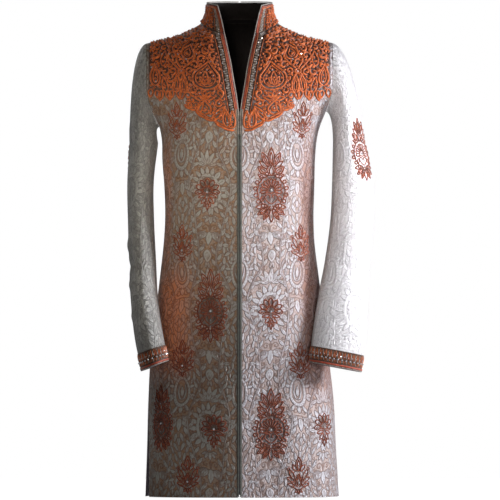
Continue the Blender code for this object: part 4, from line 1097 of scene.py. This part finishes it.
# Creases of each piece in millimetres: three places (s, z), reach and height
FOLDS = {
    ("front", -1): [
        (10, -326, 28, -318, 50, -284, 6, 2.2), (8, -322, 30, -330, 62, -352, 7, -1.8),
        (10, -395, 40, -400, 75, -392, 7, 1.6), (6, -425, 35, -420, 58, -428, 6, 1.4),
        (20, -250, 45, -275, 60, -310, 7, 1.4), (150, -300, 130, -380, 146, -455, 16, -2.8),
        (190, -330, 172, -420, 178, -520, 15, 2.6), (205, -560, 180, -700, 190, -860, 22, 2.8),
        (105, -700, 98, -880, 108, -1040, 28, -2.4), (30, -760, 34, -900, 28, -1050, 22, 1.6),
        (100, -470, 140, -455, 185, -462, 9, 1.5),
    ],
    ("front", 1): [
        (50, -440, 80, -465, 112, -486, 7, 3), (28, -500, 55, -512, 82, -496, 7, -2.6),
        (66, -528, 90, -560, 118, -598, 8, 2.6), (8, -395, 30, -402, 52, -398, 6, 1.8),
        (6, -420, 28, -425, 60, -418, 6, -1.4), (6, -610, 34, -620, 60, -612, 7, 2.2),
        (8, -652, 30, -660, 52, -655, 6, 1.8), (8, -690, 26, -696, 48, -690, 6, -1.6),
        (150, -400, 176, -480, 168, -580, 16, 2.8), (196, -340, 186, -440, 196, -560, 15, -2.8),
        (130, -720, 124, -880, 136, -1045, 26, 2.4), (60, -740, 56, -900, 64, -1050, 24, -1.8),
        (205, -680, 212, -850, 226, -1020, 24, 3), (100, -250, 120, -290, 118, -340, 12, -1.8),
    ],
    ("back", -1): [
        (20, -430, 80, -450, 150, -440, 12, 2.6), (30, -500, 90, -490, 140, -505, 10, -2.2),
        (60, -620, 66, -820, 56, -1040, 26, 3.2), (130, -600, 140, -820, 150, -1030, 26, -3),
        (190, -560, 196, -760, 206, -960, 22, 2.6), (60, -100, 100, -180, 110, -280, 16, 2.2),
    ],
    ("back", 1): [
        (16, -455, 70, -440, 140, -462, 12, 2.6), (20, -525, 80, -535, 150, -515, 10, -2),
        (50, -600, 62, -800, 54, -1030, 26, -3), (120, -640, 126, -840, 140, -1050, 26, 3.2),
        (190, -580, 200, -780, 214, -1000, 22, -2.4), (70, -110, 105, -190, 112, -270, 16, -2),
    ],
    ("sleeve_top", -1): [
        (-80, -470, -10, -500, 60, -470, 10, 3), (-70, -520, 0, -545, 70, -520, 10, -2.8),
        (-40, -580, 30, -590, 80, -560, 9, 2.4), (-60, -150, -20, -230, -30, -330, 14, 2.4),
        (60, -640, 10, -660, -40, -650, 9, 1.8),
    ],
    ("sleeve_top", 1): [
        (100, -508, 60, -520, 10, -512, 9, 3.4), (104, -536, 70, -548, 20, -556, 9, -3.2),
        (104, -585, 70, -590, 30, -604, 9, 3), (-80, -500, -40, -530, 10, -540, 11, 3),
        (-60, -600, 0, -620, 50, -650, 10, -2.2), (30, -150, 55, -240, 50, -340, 16, -2.4),
        (60, -690, 20, -700, -30, -690, 9, 1.8),
    ],
}


def at_cloth(places, seed=0.0):
    """Cloth coordinates as an attribute of the points, with a number that tells pieces apart."""
    seeds = np.full(places.shape[:-1] + (1,), seed)
    return {"cloth": np.concatenate([places, seeds], axis=-1).reshape(-1, 3)}


def shell(name, nodes, cloth, masks=None, bare=0.0, warm=0.5, seed=0.0):
    """The brocade side of a piece, with its damask as a distance carried by its points."""
    rows, columns = cloth.grid.shape[:2]
    s, z = cloth.cloth[..., 0], cloth.cloth[..., 1]
    attributes = at_cloth(cloth.cloth, seed) | {
        "figure": sample_tile(tile.line, s + seed, z).ravel(),
        "shape": sample_tile(tile.fill, s + seed, z).ravel(),
        "bare": np.full(s.size, bare),
        "warm": np.full(s.size, warm),
    }
    for key in ("painted_edge_shade", "painted_glow_shade", "stitched_ground_and_shade"):
        attributes[key] = (masks or {}).get(key, np.zeros(s.shape)).ravel()
    quads = grid_quads(rows, columns, cloth.outward < 0)
    obj = mesh_from(name, cloth.grid.reshape(-1, 3), [quads], [brocade], attributes)
    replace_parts(obj, *nodes)
    return obj


def back_of(name, cloth, every=4, rims=("low", "high", "start", "end")):
    """Lining a cloth's thickness inside, with the turned edges that join it to the outer face."""
    counts = cloth.grid.shape[:2]
    pick = np.ix_(*(np.unique(np.append(np.arange(0, count, every), count - 1)) for count in counts))
    outer, normal, where = cloth.grid[pick], cloth.normal[pick], cloth.cloth[pick]
    inner = outer - normal * CLOTH
    rows, columns = outer.shape[:2]
    quads = [grid_quads(rows, columns, cloth.outward > 0)]
    verts = [inner.reshape(-1, 3), outer.reshape(-1, 3)]
    base = rows * columns
    index = np.arange(base).reshape(rows, columns)
    strips = {"low": index[0], "high": index[-1][::-1], "start": index[::-1, 0], "end": index[:, -1]}
    for rim in rims:
        line = strips[rim]
        strip = np.stack([line[:-1], line[1:], line[1:] + base, line[:-1] + base], axis=-1)
        quads.append(strip[:, ::-1] if cloth.outward > 0 else strip)
    attributes = at_cloth(np.concatenate([where, where]))
    obj = mesh_from(name, np.concatenate(verts), [np.concatenate(quads)], [lining], attributes)
    return obj


def v_edge_x(z):
    """Distance of the opening's edge from the centre plane at a height, in millimetres."""
    edge = [(-0.30, EDGE_X), (V_BOTTOM_Z, EDGE_X)] + [(p[2], p[0]) for p in V_EDGE[1:]]
    return np.interp(np.asarray(z) * 0.001, [p[0] for p in edge], [p[1] for p in edge]) * 1000


def shoulder_z(x):
    return np.interp(x, [37, 61, 80, 88, 110, 140, 170, 200, 212], [-14, -6, 3, 8, 1, -12, -21, -29, -36])


def yoke_room(x, z):
    """Room in millimetres between a point and the yoke's borders."""
    low = np.interp(x, np.array(YOKE_EDGE)[:, 0] * 1000, np.array(YOKE_EDGE)[:, 1] * 1000) + 9
    room = np.minimum(z - low, shoulder_z(x) + 1.5 - z)
    room = np.minimum(room, x - v_edge_x(z) - np.interp(z, [-215, -195], [6, 22]))
    return np.minimum(room, 207 - x)


WORDS = {-1: "left", 1: "right"}
KEEL = 0.0075                 # the fronts meet in a low ridge below the neck
KEEL_REACH = 0.085
PAINTED_EDGE_SHADE = 0.0026           # width of the dark strip beside the bound edge, painted shade where the fronts meet
FLAT_EDGE = 0.012             # creases die away towards the centre
SLEEVE_SHIFT = 0.021          # the sleeves' damask starts elsewhere in the repeat
# Painted shade: the share of the shaded copy of the brocade's colours on each front and sleeve
FRONT_PAINTED_SHADE = {-1: 1.0, 1: 0.0}
SLEEVE_PAINTED_SHADE = {-1: 0.85, 1: 0.0}
PANEL_POINTS = {"front": (400, 100, 150), "back": (250, 70, 100)}
# Closer stitched ground inside a buta: middle, width and height as shares of its half sizes, and depth
BUTA_GROUND = {"palmette": (-0.165, 0.80, 0.44, 0.60), "fan": (0.30, 0.72, 0.50, 0.56),
               "lily": (-0.25, 0.32, 0.36, 0.50)}


def side_stretch(s, z, edge, reach, middle, half, power):
    """Share of a painted patch of light and shade that starts at a distance from the centre and fades above
    and below a height.
    """
    return np.exp(-((np.maximum(edge - s, 0) / reach) ** 2) - ((z - middle) / half) ** power)


def front_masks(cloth, side, to_edge):
    """Where a front has its dark edge strip (painted shade), its close stitched ground under cords, and its
    painted glow and painted shade at the sides.
    """
    s, z = cloth.cloth[..., 0], cloth.cloth[..., 1]
    room = yoke_room(np.abs(cloth.grid[..., 0]) * 1000, cloth.grid[..., 2] * 1000)
    stitched_ground_and_shade = np.clip(room / 3 + 0.5, 0, 1) * np.interp(z, [-0.190, -0.120], [0.45, 0.92])
    for _, buta_side, s0, z0, half_w, half_h, kind in BUTAS:
        if buta_side == side:
            middle, wide, tall, depth = BUTA_GROUND[kind]
            reach = np.hypot((s - s0) / (half_w * wide), (z - z0 - half_h * middle) / (half_h * tall))
            stitched_ground_and_shade = np.maximum(stitched_ground_and_shade, depth * np.clip((1 - reach) * 9, 0, 1))
    if side < 0:
        # Painted warm light on the left hip, and painted shade along the left side
        painted_glow_shade = np.maximum(0.80 * side_stretch(s, z, 0.155, 0.042, -0.665, 0.125, 4),
                          0.6 * side_stretch(s, z, 0.185, 0.014, -0.42, 0.17, 4))
    else:
        # Painted shadow of the right sleeve along the right front's side, in the glow colour and the dark
        # stitched-ground colour
        shade = side_stretch(s, z, 0.168, 0.018, -0.55, 0.27, 6)
        painted_glow_shade = 0.40 * shade
        stitched_ground_and_shade = np.maximum(stitched_ground_and_shade, 0.62 * shade)
    return {"painted_edge_shade": np.clip((PAINTED_EDGE_SHADE - to_edge) / 0.001, 0, 1), "painted_glow_shade": painted_glow_shade, "stitched_ground_and_shade": stitched_ground_and_shade}


cloths, shells = {}, {}


def sew(part, side, cloth, rims=("low", "high", "start", "end"), **looks):
    """The outer shell and the lining of a panel or sleeve."""
    word = WORDS[side]
    cloths[(part, side)] = cloth
    shells[(part, side)] = shell(f"{part}_cloth_{word}", [f"{part}_{word}"], cloth, **looks)
    back_of(f"{part}_lining_{word}", cloth, rims=rims)


for side in (-1, 1):
    for face in ("front", "back"):
        cloth = panel_cloth(side, face, *PANEL_POINTS[face])
        to_edge = cloth.cloth[..., 0] - cloth.cloth[:, :1, 0]
        height = sum(crease(cloth, fold) for fold in FOLDS[(face, side)]) * np.clip(to_edge / FLAT_EDGE, 0, 1)
        if face == "front":
            below_neck = np.clip((V_BOTTOM_Z - 0.05 - cloth.cloth[..., 1]) / 0.10, 0, 1)
            height = height + KEEL * np.clip(1 - to_edge / KEEL_REACH, 0, 1) ** 2 * below_neck
        cloth.relief(height)
        if face == "front":
            sew(face, side, cloth, masks=front_masks(cloth, side, to_edge), warm=FRONT_PAINTED_SHADE[side])
        else:
            # The damask of the back follows the slope of the shoulders
            step = np.diff(cloth.grid, axis=0)
            climb = np.hypot(step[..., 1], step[..., 2]) * np.sign(step[..., 2])
            cloth.cloth[1:, :, 1] = cloth.cloth[:1, :, 1] + np.cumsum(climb, axis=0)
            sew(face, side, cloth)

# Tape over the centre-back seam inside
TAPE_HALF = 0.006
edges = []
for side in (-1, 1):
    cloth = cloths[("back", side)]
    rows = np.arange(0, cloth.grid.shape[0], 4)
    edges.append(cloth.grid[rows, 0] - cloth.normal[rows, 0] * (CLOTH + 0.0006) + (side * TAPE_HALF, 0, 0))
ribbon = np.stack(edges, axis=1)
places = np.stack([np.broadcast_to([-TAPE_HALF, TAPE_HALF], ribbon.shape[:2]), ribbon[..., 2]], axis=-1)
tape = mesh_from("seam_tape_back", ribbon.reshape(-1, 3), [grid_quads(len(rows), 2, False)], [lining],
                 at_cloth(places))

SPANS = {"sleeve_top": (SEAM_ANGLES[1], 2 * PI + SEAM_ANGLES[0], 110), "sleeve_under": (*SEAM_ANGLES, 34)}
for side in (-1, 1):
    for part, (low, high, columns) in SPANS.items():
        cloth = sleeve_cloth(side, low, high, 300, columns)
        folds = [crease(cloth, fold) for fold in FOLDS.get((part, side), [])]
        cloth.relief(sum(folds, np.zeros(cloth.grid.shape[:2])))
        sew(part, side, cloth, ("low", "high"), bare=1.0, warm=SLEEVE_PAINTED_SHADE[side], seed=SLEEVE_SHIFT)


# Butas
FINE = {"cord": 0.68, "high": 1.0, "edging_and_shadow": 0.62, "step": 2.1}


def placer(cloth, s0, z0):
    def place(x, z):
        return cloth.place(s0 + np.asarray(x) * 0.001, z0 + np.asarray(z) * 0.001)
    return place


def sew_buta(name, cloth, s0, z0, half_w, half_h, kind):
    shape, full_w, full_h = SHAPES[kind]
    work = Stitches()
    scale = (half_w * 1000 / full_w, half_h * 1000 / full_h)
    stitch_lines(work, *shape(), placer(cloth, s0, z0), scale=scale, **FINE)
    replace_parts(work.build(name + "_cords", BUTA_WORK), name)


for name, side, *rest in BUTAS:
    sew_buta(name, cloths[("front", side)], *rest)
for side in (-1, 1):
    sew_buta("palmette_sleeve_" + WORDS[side], cloths[("sleeve_top", side)], *SLEEVE_BUTA[side], "palmette")


# The shoulders slope back, so the yoke's small curls are set out by distance over the slope, in millimetres
SLOPE_EXTRA = 24.0
SLOPE_REACH = 18.0
DROPS = np.linspace(-30, 300, 661)
RUNS = DROPS + SLOPE_EXTRA * np.tanh(DROPS / SLOPE_REACH)


def on_slope(x, z):
    top = shoulder_z(x)
    return top + SLOPE_EXTRA - np.interp(top - z, DROPS, RUNS)


def off_slope(x, z):
    top = shoulder_z(x)
    return top - np.interp(top + SLOPE_EXTRA - z, RUNS, DROPS)


def moved(line, way):
    return np.stack([line[:, 0], way(line[:, 0], line[:, 1])], axis=-1)


def yoke_slope_room(x, z):
    return yoke_room(x, off_slope(x, z))


def rail(work, p, n):
    """A cord over a near-black band, its painted shadow."""
    work.cord(p + n * 0.0002, n, 0.0016, 0.0010, EDGE, FLAT_PROFILE)
    work.cord(p + n * 0.0006, n, 0.0009, 0.0012, THREAD)


# Yokes: the shapes of the front view, outward from the centre and up, in millimetres
def yoke_lines():
    lines = [
        (drop_loop(80, -141, -9, 66, 58), 1.6), (drop_loop(80, -134, -9, 50, 43), 1.1),
        (leaf_loop(79, -132, -4, 34, 13), 1.3), (leaf_loop(79, -130, -38, 22, 9), 1.2),
        (leaf_loop(79, -130, 32, 22, 9), 1.2), (spiral(68, -124, 6, 200, 1, 1.2), 1.2),
        (spiral(90, -124, 6, 160, -1, 1.2), 1.2),
        (drop_loop(122, -70, -20, 34, 26), 1.5), (drop_loop(121, -65, -20, 20, 13), 1.1),
        (smooth_line([(133, -92), (143, -72), (132, -56), (126, -42), (112, -32)]), 1.7),
        (smooth_line([(128, -92), (112, -80), (101, -66), (102, -48), (92, -36)]), 1.7),
        (smooth_line([(137, -96), (151, -80), (162, -66), (158, -50), (166, -36)]), 1.6),
        (ring_loop(132, -99, 7, 5), 1.6), (ring_loop(132, -99, 2.6, 2), 1.2),
        (spiral(113, -98, 9, 90, 1, 1.3), 1.6), (spiral(152, -99, 9, 270, -1, 1.3), 1.6),
        (drop_loop(126, -148, 2, 44, 15), 1.6), (drop_loop(145, -146, -6, 42, 15), 1.6),
        (drop_loop(126, -142, 2, 27, 6), 1.0), (drop_loop(145, -140, -6, 26, 6), 1.0),
        (drop_loop(190, -131, 4, 50, 21), 1.6), (drop_loop(190, -125, 4, 34, 10), 1.1),
        (leaf_loop(165, -150, 12, 40, 13), 1.4), (leaf_loop(174, -88, -8, 36, 14), 1.4),
        (drop_loop(79, -197, 0, 31, 27), 1.6), (ring_loop(79, -184, 6, 6), 1.2),
        (spiral(117, -154, 9.5, 0, 1, 1.3), 1.6), (spiral(115, -176, 9, 180, -1, 1.3), 1.6),
        (spiral(46, -173, 10, 90, -1, 1.4), 1.6), (spiral(98, -176, 7, 0, 1, 1.2), 1.4),
        (leaf_loop(14, -229, 4, 40, 11), 1.6), (drop_loop(27, -226, 8, 42, 16), 1.6),
        (drop_loop(27, -220, 8, 26, 7), 1.0), (leaf_loop(63, -213, -42, 45, 13), 1.6),
        (leaf_loop(58, -207, -62, 30, 9), 1.3), (leaf_loop(97, -196, -30, 30, 12), 1.5),
    ]
    for turn, length in ((0, 21), (-42, 22), (42, 22), (-80, 24), (80, 24)):
        lines.append((leaf_loop(79, -163, turn, length, 9), 1.5))
    edge = np.array(YOKE_EDGE) * 1000
    edge[0, 0] = 11
    scallops = []
    for (x0, z0), (x1, z1) in zip(edge[:-1], edge[1:]):
        t = np.linspace(0, 1, 9)[:-1]
        across = math.hypot(x1 - x0, z1 - z0)
        sag = 3.2 * np.sin(PI * t)
        scallops.append(np.stack([x0 + (x1 - x0) * t + sag * (z1 - z0) / across,
                                  z0 + (z1 - z0) * t - sag * (x1 - x0) / across], axis=-1))
    border = np.concatenate(scallops + [edge[-1:]])
    border = border[border[:, 0] < 124]
    lines.append((border + (0, 2.0), 1.7))
    lines.append((border + (0.5, 8.0), 1.3))
    for leaf in ((128, -140, 168, 24, 11), (140, -138, 190, 25, 10), (152, -142, 165, 21, 10),
                 (164, -142, 196, 24, 11), (177, -142, 170, 24, 10), (189, -142, 200, 21, 11),
                 (201, -138, 174, 20, 10)):
        lines.append((leaf_loop(*leaf), 1.4))
    return [(line, weight * 1.08 if weight > 1.55 else weight) for line, weight in lines]


YOKE_STONES = [
    (121, -72), (79, -184), (74, -96), (132, -99), (27, -216), (190, -122), (117, -154), (46, -173),
    (98, -60), (160, -60), (100, -100), (60, -150), (150, -125), (176, -60), (88, -40), (110, -130),
    (60, -110), (66, -78), (140, -60), (200, -90), (52, -195), (90, -150),
]


for side in (-1, 1):
    word = WORDS[side]
    cloth = cloths[("front", side)]

    def on_front(x, z, cloth=cloth, side=side):
        x, z = np.asarray(x) * 0.001, np.asarray(z) * 0.001
        return cloth.place(cloth.from_front(x, z, side), z)

    lines = yoke_lines()
    laid = [(moved(line, on_slope), weight) for line, weight in lines]
    curls = fill_with_scrolls(laid, yoke_slope_room, (8, 210), (-235, 36), 4.0, 13.0, 11)
    lines += [(moved(line, off_slope), *rest) for line, *rest in curls]
    work = Stitches()
    gems = [(x, z, 1.9) for x, z in YOKE_STONES]
    stitch_lines(work, lines, gems, on_front, cord=1.3, high=1.7, edging_and_shadow=0.8, step=2.6)
    # Silver ladder stitches and the maroon strip beside the opening's edge
    zs = np.arange(-214, -12, 3.9)
    lean = np.interp(zs, [-214, -120, -10], [0.55, 0.35, 0.15])
    inner, outer = v_edge_x(zs) + 8.5, v_edge_x(zs) + 17.5
    fine = np.arange(-216, -10, 3.0)
    # A wide near-black band under the ladder's rungs: painted shade between them
    p, n = on_front(v_edge_x(fine) + 14, fine)
    work.cord(p, n, 0.0068, 0.0006, EDGE, STRIP_PROFILE, taper=False)
    for z, a, b, slope in zip(zs, inner, outer, lean):
        p, n = on_front(np.linspace(a, b, 6), z + slope * np.linspace(-3, 3, 6))
        work.cord(p + n * 0.0006, n, 0.0009, 0.0013, SILVER)
    for shift in (6.3, 21.5):
        rail(work, *on_front(v_edge_x(zs) + shift, zs))
    zs = np.arange(-186, -10, 3.0)
    p, n = on_front(v_edge_x(zs) + 2.9, zs)
    work.cord(p, n, 0.0024, 0.0007, STRIP, STRIP_PROFILE, taper=False)
    spots = np.arange(-205, -14, 9.5)
    p, n = on_front(v_edge_x(spots) + 11 + 6 * (np.arange(len(spots)) % 2), spots)
    for point, normal in zip(p, n):
        work.stone(point + normal * 0.0018, normal, 0.0017)
    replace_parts(work.build("yoke_cords_" + word, WORK), "yoke_" + word)

    # Bound edge down the centre front
    work = Stitches()
    zs = np.arange(HEM_Z + 0.004, -0.239, 0.006)
    p, n = cloth.place(np.full(zs.shape, EDGE_X), zs)
    p[:, 0] -= side * 0.0009
    work.cord(p, n, 0.0018, 0.0007, BOUND, STRIP_PROFILE, taper=False)
    # A thin near-black cord beside it: painted shadow of the bound edge
    p, n = cloth.place(np.full(zs.shape, EDGE_X + 0.0018), zs)
    work.cord(p, n, 0.0005, 0.0004, EDGE)
    work.build("bound_edge_" + word, WORK)


# Collar
def collar_base(share):
    if share <= COLLAR_FRONT_SHARE:
        return along(NECK_FRONT, share / COLLAR_FRONT_SHARE)
    return along(NECK_BACK, (1 - share) / (1 - COLLAR_FRONT_SHARE))


def collar_point(share, height):
    base = collar_base(share) + np.array([0, 0, COLLAR_BASE_GAP])
    top = along(COLLAR_TOP, share)
    outward = unit([base[0], base[1], 0.0])
    return base + (top - base) * height - outward * COLLAR_CURVE * 4 * height * (1 - height)


COLLAR_HEIGHT = 52.0          # along the collar's cloth, in millimetres
COLLAR_PITCH = 24.0           # from drop to drop
shares = np.linspace(0, 1, 121)
heights = np.linspace(0, 1, 33)
half = np.array([[collar_point(share, height) for share in shares] for height in heights])
whole = np.concatenate([half * (-1, 1, 1), half[:, -2::-1]], axis=1)
round_run = run_of(whole[len(heights) // 2])
round_run = round_run - round_run[-1] / 2
across = np.broadcast_to(round_run, whole.shape[:2])
up = np.broadcast_to(heights[:, None] * COLLAR_HEIGHT * 0.001, whole.shape[:2])
collar = Cloth(whole, np.stack([across, up], axis=-1), -1, heights)
quads = grid_quads(*whole.shape[:2], collar.outward < 0)
collar_shell = mesh_from("collar_cloth", whole.reshape(-1, 3), [quads], [ground], at_cloth(collar.cloth))
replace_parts(collar_shell, "collar")
# The collar lining and the neck tape come out near-black, painted shade inside the neck
back_of("collar_lining", collar, 3)
seam = whole[0] - collar.normal[0] * (CLOTH + 0.0008)
neck_ribbon = np.stack([seam - (0, 0, 0.007), seam + (0, 0, 0.006)], axis=1)
places = np.stack([np.broadcast_to(across[0][:, None], (len(seam), 2)), np.zeros((len(seam), 2))], axis=-1)
neck_tape = mesh_from("neck_tape", neck_ribbon.reshape(-1, 3), [grid_quads(len(seam), 2, False)], [lining],
                      at_cloth(places))
COLLAR_HALF = round_run[-1] * 1000


def on_collar(x, z):
    """Points of the collar at a distance round from the centre back and a height, in millimetres."""
    i = np.asarray(z) / COLLAR_HEIGHT * (whole.shape[0] - 1)
    j = np.interp(np.asarray(x) * 0.001, round_run, np.arange(whole.shape[1]))
    return collar.look(i, j, collar.grid), unit(collar.look(i, j, collar.normal))


def collar_room(x, z):
    room = np.minimum(z + 1.5, 46.5 - z)
    return np.minimum(room, COLLAR_HALF - 22 - np.abs(x))


reach = COLLAR_HALF
lines = []
for k in range(-6, 7):
    x = k * COLLAR_PITCH
    if abs(x) < reach - 26:
        lines.append((drop_loop(x, 11 if k % 2 else 9, 0, 31, 15), 1.5))
        lines.append((drop_loop(x, 15, 0, 18, 6), 1.0))
        for way in (-1, 1):
            lines.append((leaf_loop(x + way * 8, 12, way * 32, 20, 7), 1.3))
lines.append((np.stack([np.linspace(-reach + 2, reach - 2, 150), np.full(150, 47.5)], axis=-1), 1.6))
lines += fill_with_scrolls(lines, collar_room, (-reach, reach), (3, 48), 3.0, 9.0, 23)
work = Stitches()
gems = [(k * COLLAR_PITCH, 16, 1.8) for k in range(-6, 7)]
gems += [((k + 0.5) * COLLAR_PITCH, 30, 1.5) for k in range(-6, 6)]
gems = [g for g in gems if abs(g[0]) < reach - 24]
stitch_lines(work, lines, gems, on_collar, cord=1.15, high=1.9, edging_and_shadow=0.95, step=2.6)
for way in (-1, 1):
    for z in np.arange(2.0, 51, 2.9):
        p, n = on_collar(way * (reach - np.linspace(8.0, 18.5, 6)), z + np.linspace(-1.5, 1.5, 6))
        work.cord(p + n * 0.0006, n, 0.00085, 0.0013, SILVER)
    zs = np.linspace(0.5, 51, 20)
    p, n = on_collar(np.full(zs.shape, way * (reach - 2.9)), zs)
    work.cord(p, n, 0.0024, 0.0007, STRIP, STRIP_PROFILE, taper=False)
    for shift in (6.3, 20.5):
        rail(work, *on_collar(np.full(zs.shape, way * (reach - shift)), zs))
    for k, z in enumerate(np.arange(5, 49, 8.5)):
        p, n = on_collar(np.array([way * (reach - 10.5 - 5.5 * (k % 2))]), np.array([z]))
        work.stone(p[0] + n[0] * 0.0018, n[0], 0.0017)
xs = np.linspace(-reach + 5, reach - 5, 160)
p, n = on_collar(xs, np.full(xs.shape, 49.8))
work.cord(p, n, 0.0016, 0.0007, STRIP, STRIP_PROFILE, taper=False)
work.build("collar_cords", WORK)


# Cuffs: stitched bands round the sleeve ends
CUFF_ROWS, CUFF_COLUMNS = 17, 145
CUFF_RAISE = 0.0011           # the band stands out over the sleeve
COMB_PITCH = 3.6              # from bar to bar, in millimetres
BEAD_PITCH = 9.3
for side in (-1, 1):
    word = WORDS[side]
    rows = SLEEVE[side]
    length = rows[0][0] - rows[-1][0]
    ts = np.linspace(2, 2 - CUFF_HEIGHT / length, CUFF_ROWS)
    angles = np.linspace(0, 2 * PI, CUFF_COLUMNS)
    band = np.array([sleeve_ring(side, t, angles) for t in ts])
    run = run_of(band[CUFF_ROWS // 2])
    places = np.stack(np.meshgrid(run, np.linspace(0, CUFF_HEIGHT, CUFF_ROWS)), axis=-1)
    cloth = Cloth(band, places, -side, ts)
    cloth.normal[:, [0, -1]] = unit(cloth.normal[:, 0] + cloth.normal[:, -1])[:, None]
    cloth.relief(np.full(band.shape[:2], CUFF_RAISE))
    cloth.grid[:, -1] = cloth.grid[:, 0]
    quads = grid_quads(CUFF_ROWS, CUFF_COLUMNS, cloth.outward < 0)
    obj = mesh_from("cuff_band_" + word, cloth.grid.reshape(-1, 3), [quads], [ground], at_cloth(places))
    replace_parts(obj, "cuff_" + word)
    girth = run[-1] * 1000

    def on_cuff(x, z, cloth=cloth, run=run):
        j = np.interp((np.asarray(x) * 0.001) % run[-1], run, np.arange(CUFF_COLUMNS))
        i = np.asarray(z) / (CUFF_HEIGHT * 1000) * (CUFF_ROWS - 1)
        return cloth.look(i, j, cloth.grid), unit(cloth.look(i, j, cloth.normal))

    work = Stitches()
    around = np.linspace(0, girth - 0.01, 150)
    # Each strip lies on a wider near-black band, its painted shadow
    for z, half_mm, high_mm, kind in ((0.7, 0.7, 0.9, SILVER), (4.4, 2.2, 1.2, STRIP)):
        p, n = on_cuff(around, np.full(around.shape, z))
        work.cord(p, n, (half_mm + 0.7) * 0.001, 0.0006, EDGE, FLAT_PROFILE, taper=False)
        work.cord(p + n * 0.0003, n, half_mm * 0.001, high_mm * 0.001, kind, taper=False)
    for k, x in enumerate(np.arange(0, girth - 1.2, COMB_PITCH)):
        p, n = on_cuff(np.full(6, x), np.linspace(18.5, 34.0 + 1.2 * (k % 2) - 0.8 * (k % 3), 6))
        work.cord(p + n * 0.0002, n, 0.0007, 0.0013, SILVER if k % 3 == 2 else THREAD)
    for k, x in enumerate(np.arange(COMB_PITCH / 2, girth - 2, COMB_PITCH)):
        p, n = on_cuff(x + np.array([-0.5, 0.1, 0.5]), np.array([9.2, 12.4, 16.6]) - 0.7 * (k % 2))
        work.cord(p + n * 0.0003, n, 0.0007, 0.0012, SILVER if k % 3 == 1 else THREAD)
    for x in np.arange(4, girth - 2, BEAD_PITCH):
        p, n = on_cuff(np.array([x, x + 4.6]), np.array([16.6, 24.0]))
        work.stone(p[0] + n[0] * 0.0016, n[0], 0.0018)
        work.stone(p[1] + n[1] * 0.0008, n[1], 0.0012)
    work.build("cuff_cords_" + word, WORK)


# The piping's own look
piping_look = cord_material("piping_satin", (0.24, 0.21, 0.19), (0.50, 0.46, 0.43), 0.4, on_object=True)
for word in WORDS.values():
    node_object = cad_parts["piping_" + word]
    node_object.data.materials.clear()
    node_object.data.materials.append(piping_look)


# Flat widths and lengths of the pieces; the loop below only looks them up
FLAT_CUTS = {"front": (0.40, 1.16), "back": (0.36, 1.16),
             "sleeve_top": (0.34, 0.78), "sleeve_under": (0.14, 0.62)}


for (part, side), obj in shells.items():
    width, length = FLAT_CUTS[part]


# Stage, lights and camera
def seen_strength(tree, low, high):
    """Glow of the surroundings: high to the camera, low to the coat."""
    seen = node(tree, "ShaderNodeLightPath").outputs["Is Camera Ray"]
    made = node(tree, "ShaderNodeMapRange", {"Value": seen, "To Min": low, "To Max": high})
    return made.outputs["Result"]


floor_z = HEM_Z - 0.0022
mesh = bpy.data.meshes.new("floor")
corners = [(-3, -3, floor_z), (3, -3, floor_z), (3, 2, floor_z), (-3, 2, floor_z)]
mesh.from_pydata(corners, [], [(0, 1, 2, 3)])
material, tree, shader = new_material("floor")
grain = node(tree, "ShaderNodeTexNoise", {"Scale": 3.0}).outputs["Fac"]
feed(tree, shader, {"Base Color": mix(tree, grain, (0.86, 0.86, 0.87), (0.8342, 0.8342, 0.8439)),
                    "Roughness": 0.8, "Emission Color": (1, 1, 1, 1),
                    "Emission Strength": seen_strength(tree, 0.04, 0.9)})
mesh.materials.append(material)
floor = bpy.data.objects.new("floor", mesh)
bpy.context.scene.collection.objects.link(floor)
floor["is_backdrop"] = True

WHITE, COOL, CREAM = (1, 1, 1), (0.98, 0.97, 1.0), (1.0, 0.90, 0.76)
# Name, place, width, height, power, colour, target and spread in degrees
LIGHTS = [
    ("key", (2.9, -0.60, 0.10), 0.7, 0.7, 116.0, COOL, (0.10, 0, -0.42), 180),
    ("sleeve", (0.75, -1.6, -0.40), 0.10, 0.6, 0.72, COOL, (0.31, 0, -0.40), 24),
    ("chest", (-0.15, -1.6, -0.20), 0.20, 0.20, 0.42, CREAM, (-0.090, 0, -0.34), 32),
    ("fill", (-0.35, -1.5, 0.6), 0.7, 0.7, 3.6, CREAM, (0.0, 0, -0.25), 180),
    ("rim", (-1.5, 2.2, 0.8), 1.2, 1.2, 8.0, WHITE, (0.02, 0, -0.5), 180),
]
for name, place, wide, tall, power, colour, target, spread in LIGHTS:
    light = bpy.data.lights.new(name, "AREA")
    light.shape = "RECTANGLE"
    light.size, light.size_y = wide, tall
    light.spread = math.radians(spread)
    light.energy = power
    light.color = colour
    obj = bpy.data.objects.new(name, light)
    obj.location = place
    obj.rotation_mode = "QUATERNION"
    obj.rotation_quaternion = (Vector(target) - Vector(place)).to_track_quat("-Z", "Y")
    bpy.context.scene.collection.objects.link(obj)

world = bpy.data.worlds.new("studio")
bpy.context.scene.world = world
world.use_nodes = True
tree = world.node_tree
feed(tree, tree.nodes["Background"], {"Color": (1, 1, 1, 1), "Strength": seen_strength(tree, 0.035, 1.0)})
bpy.context.scene.view_settings.view_transform = "Standard"

LENS, SENSOR = 800, 36
VIEW_HEIGHT = 1.14            # height in metres that the photo's frame takes in
camera = bpy.data.cameras.new("camera")
camera.lens = LENS
camera.sensor_width = SENSOR
camera.clip_end = 100
view = bpy.data.objects.new("camera", camera)
view.location = (0.0239, -0.06 - VIEW_HEIGHT * LENS / SENSOR, -0.5061)
view.rotation_euler = (PI / 2, 0, 0)
bpy.context.scene.collection.objects.link(view)
bpy.context.scene.camera = view

low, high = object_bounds()
